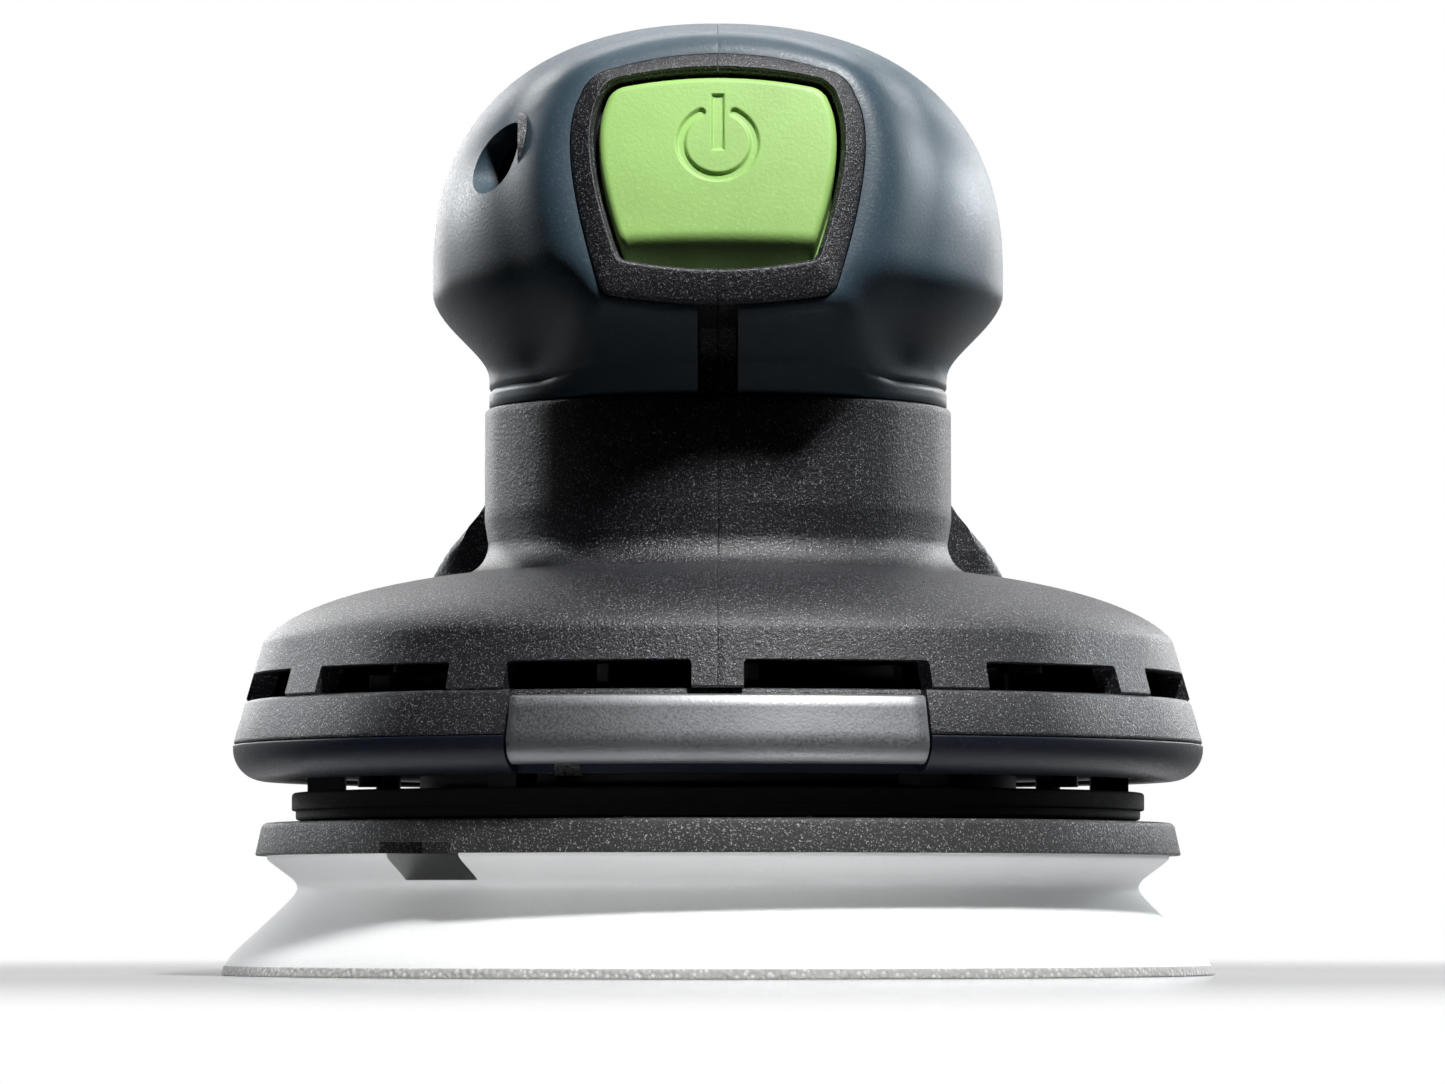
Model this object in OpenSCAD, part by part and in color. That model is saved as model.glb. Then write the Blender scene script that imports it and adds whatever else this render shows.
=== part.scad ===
// Compact random orbital sander with a brushless motor, built as an assembly of separate pieces.
// Frame: +Z up, the power button faces -Y, the dust spigot points to +Y. The origin lies on the
// motor's axis, in the plane of the pad's sanding face. All sizes are in millimetres.

/* [Pad] */
// Radius of the sanding face
pad_r = 62.5; // [60:0.5:65]
// Offset between the motor's axis and the pad's axis (half the stroke)
ecc = 1.5; // [1:0.25:2.5]
// Rest angle of the air intakes, measured from the front towards -X
intake_angle = 38.8; // [20:0.1:60]
// Thickness of the hook layer
hook_t = 1.2; // [0.8:0.1:2]
// Height of the foam's top face
foam_top = 14.9; // [13:0.1:16]
// Height of the pad plate's top face
plate_top = 19.0; // [18:0.1:19.2]
// Number of dust holes
dust_holes = 8; // [6:1:8]
// Radius of the circle that the dust holes lie on
dust_ring_r = 32.5; // [30:0.5:34]
// Radius of a dust hole
dust_r = 5; // [3:0.5:5.5]

/* [Housing] */
// Outer radius of the column under the head
column_r = 29; // [28:0.5:30]
// Height where the black housing ends and the soft grip begins
column_top = 71.1; // [70:0.1:73]
// Wall thickness of the housing
wall = 2.5; // [2:0.1:3]
// Height of the joint between base ring and upper housing
parting_z = 34.3; // [34:0.1:35]
// Height of the joint between bumper and base ring
seam_z = 28.8; // [28:0.1:30]
// Height of a vent slot
slot_h = 3.3; // [2:0.1:4]

/* [Head] */
// Greatest half-width of the head
head_w = 36.2; // [35:0.1:38]
// Height of the head's crown
head_top = 120; // [118:0.5:122]
// Thickness of the soft grip over the hard shell
grip_t = 2.6; // [2:0.1:3.5]
// Thickness of the hard shell under the grip
shell_t = 2.2; // [2:0.1:2.6]
// Lean of the power button's face from upright, in degrees
button_tilt = 16; // [12:1:20]
// Travel of the power button
button_travel = 1.2; // [0.5:0.1:1.3]

/* [Dust port] */
// Outer radius of the dust spigot
spigot_r = 14; // [13:0.25:14]
// Length of the spigot outside the tail
spigot_len = 28; // [20:1:35]

/* [Hidden] */
$fn = 96;

// How far a cutter passes a face, and a size beyond all parts
eps = 0.1;
big = 300;

// ---- heights and radii of the drive, from the bottom up
collar_z = 19.35;
collar_lip_z = 20.55;
collar_top = 22.8;
collar_r = 53.7;
shroud_z = 24.9;
shroud_t = 2;
shroud_r = 54.5;
inlet_r = 35;
disc_z = 33.4;
disc_t = 1.2;
fan_r = 45;
hub_r = 18;
hub_z = 24.2;
hub_top = 37.1;
bracket_z = 38.6;
bracket_t = 2.6;
bracket_r = 54.4;
stator_z = 49.5;
stator_h = 13;
stator_r = 26.3;
rotor_r = 14.4;
magnet_t = 2.4;
cap_z = 67.2;
cap_t = 2;
shaft_top = 76.2;
spindle_r = 6;
bearing_r = 14;
upper_bearing_r = 11;
pad_bearing_z = 24.4;
pad_bearing_h = 7.2;
lower_bearing_z = 40.2;
lower_bearing_h = 8;
upper_bearing_h = 7;
run = 0.03;

// ---- base ring, bumper and band
ring_r = 61.1;
band_r = 59.5;
bumper_z = 24.3;
bumper_in_r = 54.7;
volute_r = 49.5;
volute_in_r = 47.2;
plate_half_angle = 24.3;
slot_first = 14.2;
slot_pitch = 30.1;
slot_half = 11.2;
duct_y = 46;

// ---- tail and dust port
tail_w = 40.5;
tail_h = 34;
tail_y = 88;
neck_z = 58;
deck_t = 1.7;
spigot_z = 51.2;
spigot_bore_r = 12.2;
duct_hw = 15.6;
duct_wall = 1.5;
duct_end = 74.2;
socket_z = 86;
socket_r = 13;
socket_y = 66;
board_z = 80;
dial_y = 52;
dial_r = 9;
dial_t = 3.6;
dial_slope = 32.7;

// ---- power button
button_centre = [0, -36, 98];
bezel_g = 3.5;
bezel_drop = 1.1;
bezel_depth = 12.5;

// ---- fasteners
screw_r = 1.95;
screw_head_r = 3.6;
screw_head_h = 2.6;
recess_r = 4.4;
boss_r = 5.6;
seat_x = 16;
// Places of the housing screws, as [y, z]
housing_screw_places = [[-22.7, 100.9], [37, 96], [37, 58]];
// Width of the black strip that runs from the bezel down to the column
strip_w = 4.8;

// ================= shared shapes =================

// Points of an arc round (cx, cz) from angle a0 to a1
function arc(cx, cz, r, a0, a1, steps = 8) =
  [for (i = [0:steps]) let (a = a0 + (a1 - a0) * i / steps) [cx + r * cos(a), cz + r * sin(a)]];

// 0 below a, 1 above b, smooth between
function ease(a, b, v) = let (t = min(1, max(0, (v - a) / (b - a)))) t * t * (3 - 2 * t);

function signed_pow(v, p) = sign(v) * pow(abs(v), p);

module ring(r, r_in, z, h) {
  translate([0, 0, z]) difference() {
    cylinder(r = r, h = h);
    translate([0, 0, -eps]) cylinder(r = r_in, h = h + 2 * eps);
  }
}

module disc(r, z, h) { translate([0, 0, z]) cylinder(r = r, h = h); }

// Copies children n times round the Z axis, the first at angle a
module around(n, a = 0) {
  for (i = [0:n - 1]) rotate([0, 0, a + 360 * i / n]) children();
}

// Keeps one side of the mid plane: side is -1 for left, 1 for right
module half(side) {
  intersection() {
    children();
    translate([side < 0 ? -big : 0, -big / 2, -big / 2]) cube([big, big, big]);
  }
}

function unit(v) = v / norm(v);

// A wire with eight sides through a list of points, none of whose stretches runs along X
module wire(points, r) {
  last = len(points) - 1;
  stack([for (i = [0:last])
    let (d = unit(points[min(i + 1, last)] - points[max(i - 1, 0)]),
      u = unit(cross([1, 0, 0], d)), v = cross(d, u))
    [for (j = [0:7]) points[i] + r * (cos(45 * j) * u + sin(45 * j) * v)]]);
}

// Pan-head screw pointing to +Z, its head's top at z = 0
module screw(head_r, head_h, r, len) {
  difference() {
    cylinder(r = head_r, h = head_h, $fn = 32);
    translate([0, 0, -eps]) cylinder(r = head_r * 0.45, h = head_h * 0.6 + eps, $fn = 6);
  }
  translate([0, 0, head_h]) cylinder(r = r, h = len - head_h, $fn = 32);
}

// Ball bearing: two rings and nine balls
module bearing(r, r_in, z, h) {
  race = (r - r_in) * 0.28;
  ring(r, r - race, z, h);
  ring(r_in + race, r_in, z, h);
  around(9) translate([(r + r_in) / 2, 0, z + h / 2]) sphere(r = (r - r_in) / 2 - race - 0.02);
}

// Points of a cubic curve
function curve(p0, p1, p2, p3, steps = 8) =
  [for (i = [0:steps]) let (t = i / steps, u = 1 - t)
    u * u * u * p0 + 3 * u * u * t * p1 + 3 * u * t * t * p2 + t * t * t * p3];

// Moves children into the pad's frame
module at_pad() { translate([0, -ecc, 0]) rotate([0, 0, -intake_angle]) children(); }

// Moves children into the button's frame: X right, Y up the face, Z out of the face
module at_button() { translate(button_centre) rotate([90 - button_tilt, 0, 0]) children(); }

// A point of the button's frame, seen from the whole tool
function button_point(x, y, z) = button_centre
  + [x, y * sin(button_tilt) - z * cos(button_tilt), y * cos(button_tilt) + z * sin(button_tilt)];

// ================= head surface =================

// Half-width of the head at height z, for a surface that lies off inside the outer one
function head_half_w(z, off) =
  let (neck = column_r - 0.1, v = max(0, (z - 88) / (head_top - off - 88)))
  z < 88 ? neck + (head_w - neck) * ease(75, 86.2, z) - off
         : (head_w - off) * pow(1 - pow(v, 2.4), 1 / 2.4);
function head_centre_y(z) = 4 * ease(75, 88, z);
function head_front(z, off) =
  let (v = max(0, (z - 88) / (head_top - off - 88)))
  z < 88 ? column_r - 0.1 + 14.6 * ease(75, 88, z) - off
         : (column_r + 14.5 - off) * pow(1 - pow(v, 2.5), 1 / 2.5);
function head_rear(z, off) =
  let (v = max(0, (z - 88) / (head_top - off - 88)))
  z < 88 ? 50 - off : (50 - off) * pow(1 - pow(v, 2), 1 / 2);

// One level of the head, from the front (a0 = -90) round +X to the rear (a1 = 90)
function head_level(z, off, a0, a1, steps) =
  let (w = head_half_w(z, off), yc = head_centre_y(z), yf = head_front(z, off), yr = head_rear(z, off))
  [for (i = [0:steps])
    let (a = a0 + (a1 - a0) * i / steps, s = sin(a), n = s < 0 ? 2.15 : 2.5)
    [w * signed_pow(cos(a), 2 / n), yc + (s < 0 ? yf : yr) * signed_pow(s, 2 / n), z]];

// Heights of the levels: even up the neck, then closer together towards the crown
function head_heights(z0, off) = concat(
  [for (z = [z0, 75, 78, 81, 84, 88]) z],
  [for (i = [1:10]) 88 + (head_top - off - 88) * sin(9 * i) * (i < 10 ? 1 : 0.9995)]);

// Stacks levels of equal length into a closed solid
module stack(levels) {
  n = len(levels[0]);
  m = len(levels);
  pts = [for (l = levels) for (p = l) p];
  sides = [for (j = [0:m - 2]) for (i = [0:n - 1]) let (k = (i + 1) % n)
    each [[j * n + i, (j + 1) * n + i, (j + 1) * n + k], [j * n + i, (j + 1) * n + k, j * n + k]]];
  polyhedron(pts, concat(sides, [[for (i = [0:n - 1]) i]], [[for (i = [n - 1:-1:0]) (m - 1) * n + i]]));
}

// The right half of the head, solid, from z0 up
module half_head(z0, off) {
  stack([for (z = head_heights(z0, off)) head_level(z, off, -90, 90, 14)]);
}

// The whole head, solid: it cuts hollows
module full_head(z0, off) {
  stack([for (z = head_heights(z0, off)) [for (i = [0:27]) let (a = -90 + 360 * i / 28)
    head_level(z, off, a, a, 1)[0]]]);
}

// ================= bezel and button outlines =================

// Rounded outline, widest above its middle and grown by g. Its top and bottom are low arches, and
// drop lowers the bottom one.
module button_outline(g = 0, drop = 0) {
  w_mid = 14.4 + g;
  r_top = 3 + g / 2;
  r_low = 1.2 + g / 4;
  top_x = 13.75 + 0.9 * g - r_top;
  top_y = 11.6 + 0.72 * g - r_top;
  low_x = 11.6 + 0.85 * g - r_low;
  low_y = r_low - 11.1 - g - drop;
  half_points = concat(
    [[0, 12.6 + g]],
    arc(top_x, top_y, r_top, 75, 15, 5),
    [[w_mid, 1.4], [w_mid - 0.8, -4.4]],
    arc(low_x, low_y, r_low, -15, -75, 5),
    [[0, -12.2 - g - drop]]);
  n = len(half_points);
  polygon(concat(half_points, [for (i = [n - 2:-1:1]) [-half_points[i][0], half_points[i][1]]]));
}

module button_prism(g, z0, z1, drop = 0) {
  at_button() translate([0, 0, z0]) linear_extrude(height = z1 - z0) button_outline(g, drop);
}

// ================= pad =================

module dust_hole_set(z0, z1) {
  around(dust_holes, -90 + 180 / dust_holes)
    translate([dust_ring_r, 0, z0]) cylinder(r = dust_r, h = z1 - z0, $fn = 32);
}

// Two air ways that run in from the rim
module intake_set(z0, z1, r_in) {
  around(2, -90) translate([r_in, -5.7, z0]) cube([pad_r, 11.4, z1 - z0]);
}

// Two jet holes that lead down from the air ways
module jet_hole_set(z0, z1) {
  around(2, -90) translate([17, 0, z0]) cylinder(r = 4, h = z1 - z0, $fn = 32);
}

module pad_hook_layer() {
  color([0.82, 0.82, 0.80]) at_pad() difference() {
    cylinder(r = pad_r, h = hook_t);
    dust_hole_set(-eps, hook_t + eps);
    jet_hole_set(-eps, hook_t + eps);
  }
}

module pad_foam() {
  color([0.95, 0.95, 0.94]) at_pad() difference() {
    rotate_extrude() polygon(concat(
      [[0, hook_t], [pad_r - 0.5, hook_t], [pad_r - 1.7, 2.7], [pad_r - 3.1, 4.1], [53.5, 9.7]],
      arc(54.1, 11, 1.3, 215, 145, 4),
      [[54.1, 12.5], [56.5, 14.3], [56.6, foam_top], [0, foam_top]]));
    dust_hole_set(hook_t - eps, foam_top + eps);
    jet_hole_set(hook_t - eps, foam_top + eps);
    intake_set(11.7, foam_top + eps, 13);
    translate([0, 0, 13]) cylinder(r = 11, h = 4);
  }
}

module pad_plate() {
  color([0.27, 0.27, 0.27]) at_pad() difference() {
    rotate_extrude() polygon([[0, foam_top], [58.2, foam_top], [57.3, plate_top - 0.3],
      [57, plate_top], [0, plate_top]]);
    dust_hole_set(foam_top - eps, plate_top + eps);
    intake_set(foam_top - eps, 16.3, 50);
    disc(4, foam_top - eps, 10);
    disc(11, foam_top - eps, 1.1 + eps);
  }
}

module pad_stud() {
  color([0.75, 0.75, 0.77]) at_pad() {
    disc(11, 13, 3);
    disc(4, 16, 13.5);
  }
}

module pad_spindle() {
  color([0.78, 0.78, 0.8]) at_pad() difference() {
    union() {
      disc(12, plate_top, 23.8 - plate_top);
      disc(spindle_r, 23.8, 9.4);
    }
    disc(4, plate_top - eps, 29.7 - plate_top + eps);
    ring(spindle_r + 1, spindle_r - 0.6, 32, 0.8);
  }
}

module spindle_circlip() {
  color([0.3, 0.3, 0.32]) at_pad() difference() {
    ring(8, spindle_r - 0.6, 32, 0.8);
    translate([0, -1.5, 31]) cube([12, 3, 3]);
  }
}

// ================= drive =================

module motor_shaft() {
  color([0.78, 0.78, 0.8]) {
    disc(6, 34, stator_z - 34);
    disc(5, stator_z, stator_h + 3);
    disc(4, stator_z + stator_h + 3, shaft_top - stator_z - stator_h - 3);
  }
}

module eccentric_hub() {
  color([0.62, 0.62, 0.64]) difference() {
    union() {
      disc(hub_r, hub_z, hub_top - hub_z);
      intersection() {
        ring(30, hub_r - 1, 25.2, 2);
        translate([-big / 2, 0, 0]) cube([big, big, big]);
      }
    }
    translate([0, -ecc, 0]) disc(bearing_r, hub_z - eps, 33.9 - hub_z + eps);
    disc(6, 33, 6);
    for (a = [60, 120]) rotate([0, 0, a]) translate([26, 0, 20]) cylinder(r = 1.55, h = 12, $fn = 32);
  }
}

module pad_bearing() {
  color([0.7, 0.7, 0.72]) translate([0, -ecc, 0])
    bearing(bearing_r, spindle_r + run, pad_bearing_z, pad_bearing_h);
}

module counterweight_shape(r, r_in, z, h) {
  intersection() {
    ring(r, r_in, z, h);
    rotate([0, 0, 45]) cube([big, big, big]);
  }
}

module counterweight() {
  color([0.72, 0.58, 0.3]) difference() {
    counterweight_shape(31.5, hub_r, 27.2, 4.4);
    around(6, 0) translate([26, 0, 20]) cylinder(r = 1.55, h = 20, $fn = 32);
  }
}

module counterweight_screws() {
  color([0.3, 0.3, 0.32]) intersection() {
    around(6, 0) translate([26, 0, 23.8]) screw(2.8, 1.4, 1.5, 7.4);
    translate([-20, 10, 0]) cube([40, 40, 60]);
  }
}

module fan_impeller() {
  color([0.16, 0.16, 0.17]) difference() {
    union() {
      disc(fan_r, disc_z, disc_t);
      disc(hub_r + 2.2, 31.8, hub_top - 31.8);
      around(11) translate([33, 0, 27.6]) rotate([0, 0, 35])
        translate([0, -0.8, 0]) cube([11.6, 1.6, disc_z - 27.6 + eps]);
      around(15) translate([24, 0, disc_z + disc_t - eps]) rotate([0, 0, 25])
        translate([0, -0.7, 0]) cube([21, 1.4, 3.2]);
    }
    disc(hub_r + 0.02, 20, 30);
  }
}

module rotor_core() {
  color([0.5, 0.5, 0.52]) ring(rotor_r - magnet_t - 0.02, 5, stator_z, stator_h);
}

module rotor_magnets() {
  color([0.35, 0.35, 0.38]) around(8) rotate_extrude(angle = 40)
    translate([rotor_r - magnet_t, stator_z + 0.5]) square([magnet_t, stator_h - 1]);
}

// ================= housing shells =================

// Outline of the upper housing's surface, off inside its outer one, up to height top
function band_outline(off, top) = concat(
  [[0, parting_z], [band_r - off, parting_z]],
  curve([57.3 - off, 41.9 - 0.4 * off], [54.2 - 0.75 * off, 45.6 - 0.75 * off],
    [45.5 - 0.4 * off, 48.6 - 0.95 * off], [34.5, 50.2 - off]),
  arc(34.3, 55.5, 5.3 + off, 262, 180, 6),
  [[column_r - off, top], [0, top]]);

// Superellipse arch across the tail, standing on z0
function arch(off, z0) = [for (i = [0:24]) let (t = 7.5 * i)
  [(tail_w - off) * signed_pow(cos(t), 2 / 2.2),
   z0 + (parting_z + tail_h - off - z0) * signed_pow(sin(t), 2 / 2.2)]];

// Plan of the tail from y0: straight sides, then curving in to the end face
function tail_plan(off, y0) =
  let (half_plan = concat([[tail_w - off, y0]], [for (i = [0:10]) let (t = 9 * i)
    [21 - off + (tail_w - 21) * cos(t), 48 + (tail_y - off - 48) * sin(t)]]))
  concat(half_plan, [for (i = [len(half_plan) - 1:-1:0]) [-half_plan[i][0], half_plan[i][1]]]);

// The tail, off inside its outer surface, from y0 back and from z0 up
module tail_solid(off, y0, z0) {
  intersection() {
    rotate([90, 0, 0]) translate([0, 0, -tail_y]) linear_extrude(height = tail_y)
      polygon(arch(off, z0));
    linear_extrude(height = column_top) polygon(tail_plan(off, y0));
    rotate([90, 0, 90]) translate([0, 0, -big / 2]) linear_extrude(height = big)
      polygon(concat([[0, z0]], arc(tail_y - 8 - off, z0 + 8, 8, -90, 0),
        arc(tail_y - 12 - off, parting_z + tail_h - 12 - off, 12, 0, 90),
        [[0, parting_z + tail_h - off]]));
  }
}

// The neck under the head, off inside its outer surface
module neck_solid(off, z0, z1) {
  plan = [for (p = head_level(column_top, off, -90, 90, 24)) [p[0], p[1]]];
  translate([0, 0, z0]) linear_extrude(height = z1 - z0)
    polygon(concat(plan, [for (i = [len(plan) - 2:-1:1]) [-plan[i][0], plan[i][1]]]));
}

module vent_slots() {
  for (side = [-1, 1], k = [0:2]) rotate([0, 0, -90 + side * (slot_first + slot_pitch * k) - slot_half])
    rotate_extrude(angle = 2 * slot_half)
      translate([50, parting_z - eps]) square([14, slot_h + eps]);
}

// The hard shell that the grips cover, with the bezel round the button
module head_shell(side) {
  difference() {
    union() {
      difference() {
        union() {
          mirror([side < 0 ? 1 : 0, 0, 0]) half_head(column_top, grip_t);
          half(side) intersection() {
            full_head(column_top, 0);
            translate([-strip_w / 2, -60, column_top]) cube([strip_w, 50, 12]);
          }
        }
        full_head(column_top - 3, grip_t + shell_t);
      }
      half(side) button_prism(bezel_g, -bezel_depth, 0, bezel_drop);
    }
    button_prism(0.35, -40, 5);
    button_prism(1.9, -40, -3);
  }
}

// Screw posts between the two halves: the left one is bored for the head, the right one for the thread
module screw_posts(side) {
  intersection() {
    for (p = housing_screw_places) translate([0, p[0], p[1]]) rotate([0, side * 90, 0])
      cylinder(r = side < 0 ? boss_r : boss_r - 1.2, h = 45, $fn = 48);
    union() {
      mirror([side < 0 ? 1 : 0, 0, 0]) half_head(column_top, grip_t);
      half(side) tail_solid(0, 10, parting_z);
    }
  }
}

module screw_cuts(side) {
  for (p = housing_screw_places) translate([0, p[0], p[1]]) rotate([0, side * 90, 0]) {
    if (side < 0) {
      translate([0, 0, -1]) cylinder(r = screw_r + 0.2, h = 60, $fn = 32);
      translate([0, 0, seat_x]) cylinder(r = recess_r, h = 40, $fn = 48);
    } else {
      translate([0, 0, -1]) cylinder(r = screw_r, h = 14.5, $fn = 32);
    }
  }
}

// Everything that the two housing halves enclose below the head
module housing_hollow() {
  rotate_extrude() polygon(concat([[0, parting_z - eps], [band_r - wall, parting_z - eps]],
    [for (p = band_outline(wall, column_top - deck_t)) if (p[0] > 0 && p[1] > parting_z) p],
    [[0, column_top - deck_t]]));
  disc(column_r - 5, 60, 20);
  intersection() {
    tail_solid(wall, 24, parting_z - eps);
    disc(band_r - wall, 0, column_top);
  }
  tail_solid(wall, 24, parting_z + wall);
  intersection() {
    neck_solid(wall, neck_z, column_top - deck_t);
    translate([-big / 2, 24, 0]) cube([big, big, big]);
  }
}

module socket_hole() {
  rotate([-90, 0, 0]) translate([0, -socket_z, 30]) cylinder(r = socket_r + 0.05, h = 60);
}

module housing(side) {
  difference() {
    union() {
      half(side) difference() {
        union() {
          rotate_extrude() polygon(band_outline(0, column_top));
          tail_solid(0, 10, parting_z);
          neck_solid(0, neck_z, column_top);
        }
        housing_hollow();
        vent_slots();
        rotate([-90, 0, 0]) translate([0, -spigot_z, 60]) cylinder(r = spigot_r - 0.3, h = 60);
        dial_slot();
      }
      half(side) difference() {
        ring(54.3, 50, bracket_z + bracket_t, 1.2);
        translate([-big / 2, duct_y - 1, 0]) cube([big, big, big]);
      }
      head_shell(side);
      screw_posts(side);
      if (side > 0) intersection() {
        at_dial() translate([4, -5, -dial_t / 2 - 4.6]) cube([6, 10, 4]);
        tail_solid(0.5, 24, parting_z);
      }
    }
    screw_cuts(side);
    socket_hole();
    button_prism(1.9, -6.4 - button_travel, -3);
  }
}

module housing_left() { color([0.09, 0.09, 0.11]) housing(-1); }
module housing_right() { color([0.09, 0.09, 0.11]) housing(1); }

module grip(side) {
  color([0.25, 0.32, 0.38]) difference() {
    mirror([side < 0 ? 1 : 0, 0, 0]) half_head(column_top, 0);
    full_head(column_top - 3, grip_t);
    button_prism(bezel_g, -20, 20, bezel_drop);
    translate([-strip_w / 2, -60, column_top - 1]) cube([strip_w, 50, 13]);
    screw_cuts(side);
    socket_hole();
  }
}

module grip_left() { grip(-1); }
module grip_right() { grip(1); }

// ================= base, bumper and brake =================

// Sector of a revolved outline round the front, half_angle to each side
module front_sector(half_angle) {
  rotate([0, 0, -90 - half_angle]) rotate_extrude(angle = 2 * half_angle) children();
}

// Space that the name plate takes out of ring and bumper
module plate_recess() {
  front_sector(plate_half_angle + 0.3)
    polygon([[58.9, 33.7], [60.15, seam_z], [60.1, 27.4], [59.5, 26.5], [58.8, 26], [57.4, 25.3],
      [57.4, 20], [70, 20], [70, 33.7]]);
}

// Sheet-metal clips between bumper and base ring
module clip_set() {
  for (a = [-90 - 18.1, 90 - 18.1]) rotate([0, 0, a])
    translate([56.4, -1.6, 24]) cube([0.9, 3.2, 3.6]);
}

module bumper_clips() { color([0.75, 0.75, 0.76]) clip_set(); }

module bumper_ring() {
  color([0.08, 0.09, 0.14]) difference() {
    rotate_extrude() polygon(concat([[bumper_in_r, bumper_z]], arc(ring_r - 4, bumper_z + 4, 4, -90, 0),
      [[ring_r, seam_z], [bumper_in_r, seam_z]]));
    plate_recess();
    clip_set();
  }
}

module name_plate() {
  color([0.68, 0.69, 0.71]) front_sector(plate_half_angle)
    polygon([[59.05, 33.5], [60.25, seam_z], [60.2, 27.3], [59.6, 26.4], [58.9, 25.9],
      [59.5, 25.3], [60.4, 25.8], [61.1, 26.8], [61.3, 28], [61.3, seam_z], [60.1, 33.5]]);
}

module base_ring() {
  color([0.13, 0.13, 0.15]) difference() {
    union() {
      rotate_extrude() polygon([[volute_in_r, shroud_z + shroud_t], [volute_r, shroud_z + shroud_t],
        [volute_r, seam_z], [ring_r, seam_z], [band_r, parting_z], [band_r - wall, parting_z],
        [ring_r - 2 * wall, seam_z + 2], [volute_r, seam_z + 2], [volute_r, parting_z],
        [fan_r + 0.8, parting_z], [fan_r + 0.8, parting_z - 1.2], [volute_in_r, parting_z - 1.2]]);
      shroud_screw_places() disc(3.2, shroud_z + shroud_t, 5.6);
    }
    shroud_screw_places() disc(1.1, 20, 11);
    plate_recess();
    translate([-duct_hw - 0.2, duct_y - 0.4, 20]) cube([2 * duct_hw + 0.4, 8.6, 20]);
  }
}

module shroud_screw_places() {
  for (a = [28, 152, 208, 332]) rotate([0, 0, a]) translate([48.35, 0, 0]) children();
}

// Posts of the brake collar, with a peg below each
module collar_posts() {
  around(6) {
    translate([47, -2, collar_top]) cube([4.7, 4, shroud_z - collar_top + eps]);
    translate([49.4, 0, collar_top - 1.2]) cylinder(r = 1.2, h = 1.3, $fn = 24);
  }
}

module fan_shroud() {
  color([0.1, 0.1, 0.11]) difference() {
    union() {
      disc(shroud_r, shroud_z, shroud_t);
      disc(inlet_r + 2.6, 20.6, shroud_z - 20.6 + eps);
      collar_posts();
    }
    disc(inlet_r, 20, 10);
    shroud_screw_places() disc(1.15, 20, 10);
    translate([-duct_hw, duct_y, 20]) cube([2 * duct_hw, 20, 20]);
  }
}

module shroud_screws() {
  color([0.35, 0.35, 0.37]) shroud_screw_places() {
    disc(1.6, shroud_z - 1.7, 1.7);
    disc(1.1, shroud_z, 5.8);
  }
}

module brake_collar() {
  color([0.06, 0.06, 0.06]) difference() {
    rotate_extrude() polygon([[46.4, collar_lip_z], [47.6, collar_z], [collar_r - 0.5, collar_z],
      [collar_r - 0.5, collar_lip_z], [collar_r, collar_lip_z], [collar_r, collar_top],
      [46.4, collar_top]]);
    around(6) translate([49.4, 0, collar_top - 1.2]) cylinder(r = 1.2, h = 3, $fn = 24);
  }
}

// ================= motor mounting =================

module bracket_screw_places() { around(4, 45) translate([51.8, 0, 0]) children(); }

module bearing_bracket() {
  color([0.68, 0.69, 0.7]) difference() {
    union() {
      disc(bracket_r, bracket_z, bracket_t);
      disc(bearing_r + 3, bracket_z, lower_bearing_z + lower_bearing_h - bracket_z);
    }
    disc(bearing_r, lower_bearing_z, 20);
    disc(bearing_r - 4, 30, 20);
    around(8, 22.5) translate([37, 0, 30]) cylinder(r = 6, h = 20);
    bracket_screw_places() disc(1.4, 30, 20);
    translate([-duct_hw - 0.4, duct_y - 0.4, 30]) cube([2 * duct_hw + 0.8, 20, 20]);
  }
}

module bracket_screws() {
  color([0.35, 0.35, 0.37]) bracket_screw_places() translate([0, 0, bracket_z - 1.8]) {
    cylinder(r = 2.6, h = 1.8, $fn = 32);
    cylinder(r = 1.4, h = 1.8 + bracket_t, $fn = 32);
  }
}

module lower_bearing() {
  color([0.7, 0.7, 0.72]) bearing(bearing_r, 6 + run, lower_bearing_z, lower_bearing_h);
}

// Angles of the three motor leads
lead_angles = [150, 170, 190];
lead_r = 19.5;

module bearing_cap() {
  color([0.2, 0.2, 0.22]) difference() {
    union() {
      disc(column_r - wall - 0.1, cap_z, cap_t);
      disc(upper_bearing_r + 2.2, cap_z, cap_t + upper_bearing_h);
    }
    disc(upper_bearing_r, cap_z + cap_t, 20);
    disc(upper_bearing_r - 4, cap_z - 1, 20);
    for (a = lead_angles) rotate([0, 0, a]) translate([lead_r, 0, 60])
      cylinder(r = 1.8, h = 20, $fn = 24);
  }
}

module upper_bearing() {
  color([0.7, 0.7, 0.72]) bearing(upper_bearing_r, 4 + run, cap_z + cap_t, upper_bearing_h);
}

// ================= stator =================

module stator_teeth(w, r0, r1, z, h) {
  around(12) translate([r0, -w / 2, z]) cube([r1 - r0, w, h]);
}

module stator_core() {
  color([0.45, 0.45, 0.48]) union() {
    ring(stator_r, 22.6, stator_z, stator_h);
    intersection() {
      stator_teeth(3, 15.4, 23, stator_z, stator_h);
      ring(24, 15.4, stator_z, stator_h);
    }
  }
}

module stator_coils() {
  color([0.72, 0.4, 0.2]) difference() {
    around(12) translate([17.2, -3.3, stator_z - 2.4]) cube([5, 6.6, stator_h + 4.8]);
    stator_teeth(3.04, 15, 23, stator_z - 0.02, stator_h + 0.04);
  }
}

module hall_board() {
  color([0.1, 0.35, 0.18]) ring(25.8, 13, stator_z + stator_h + 2.6, 1.2);
}

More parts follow.
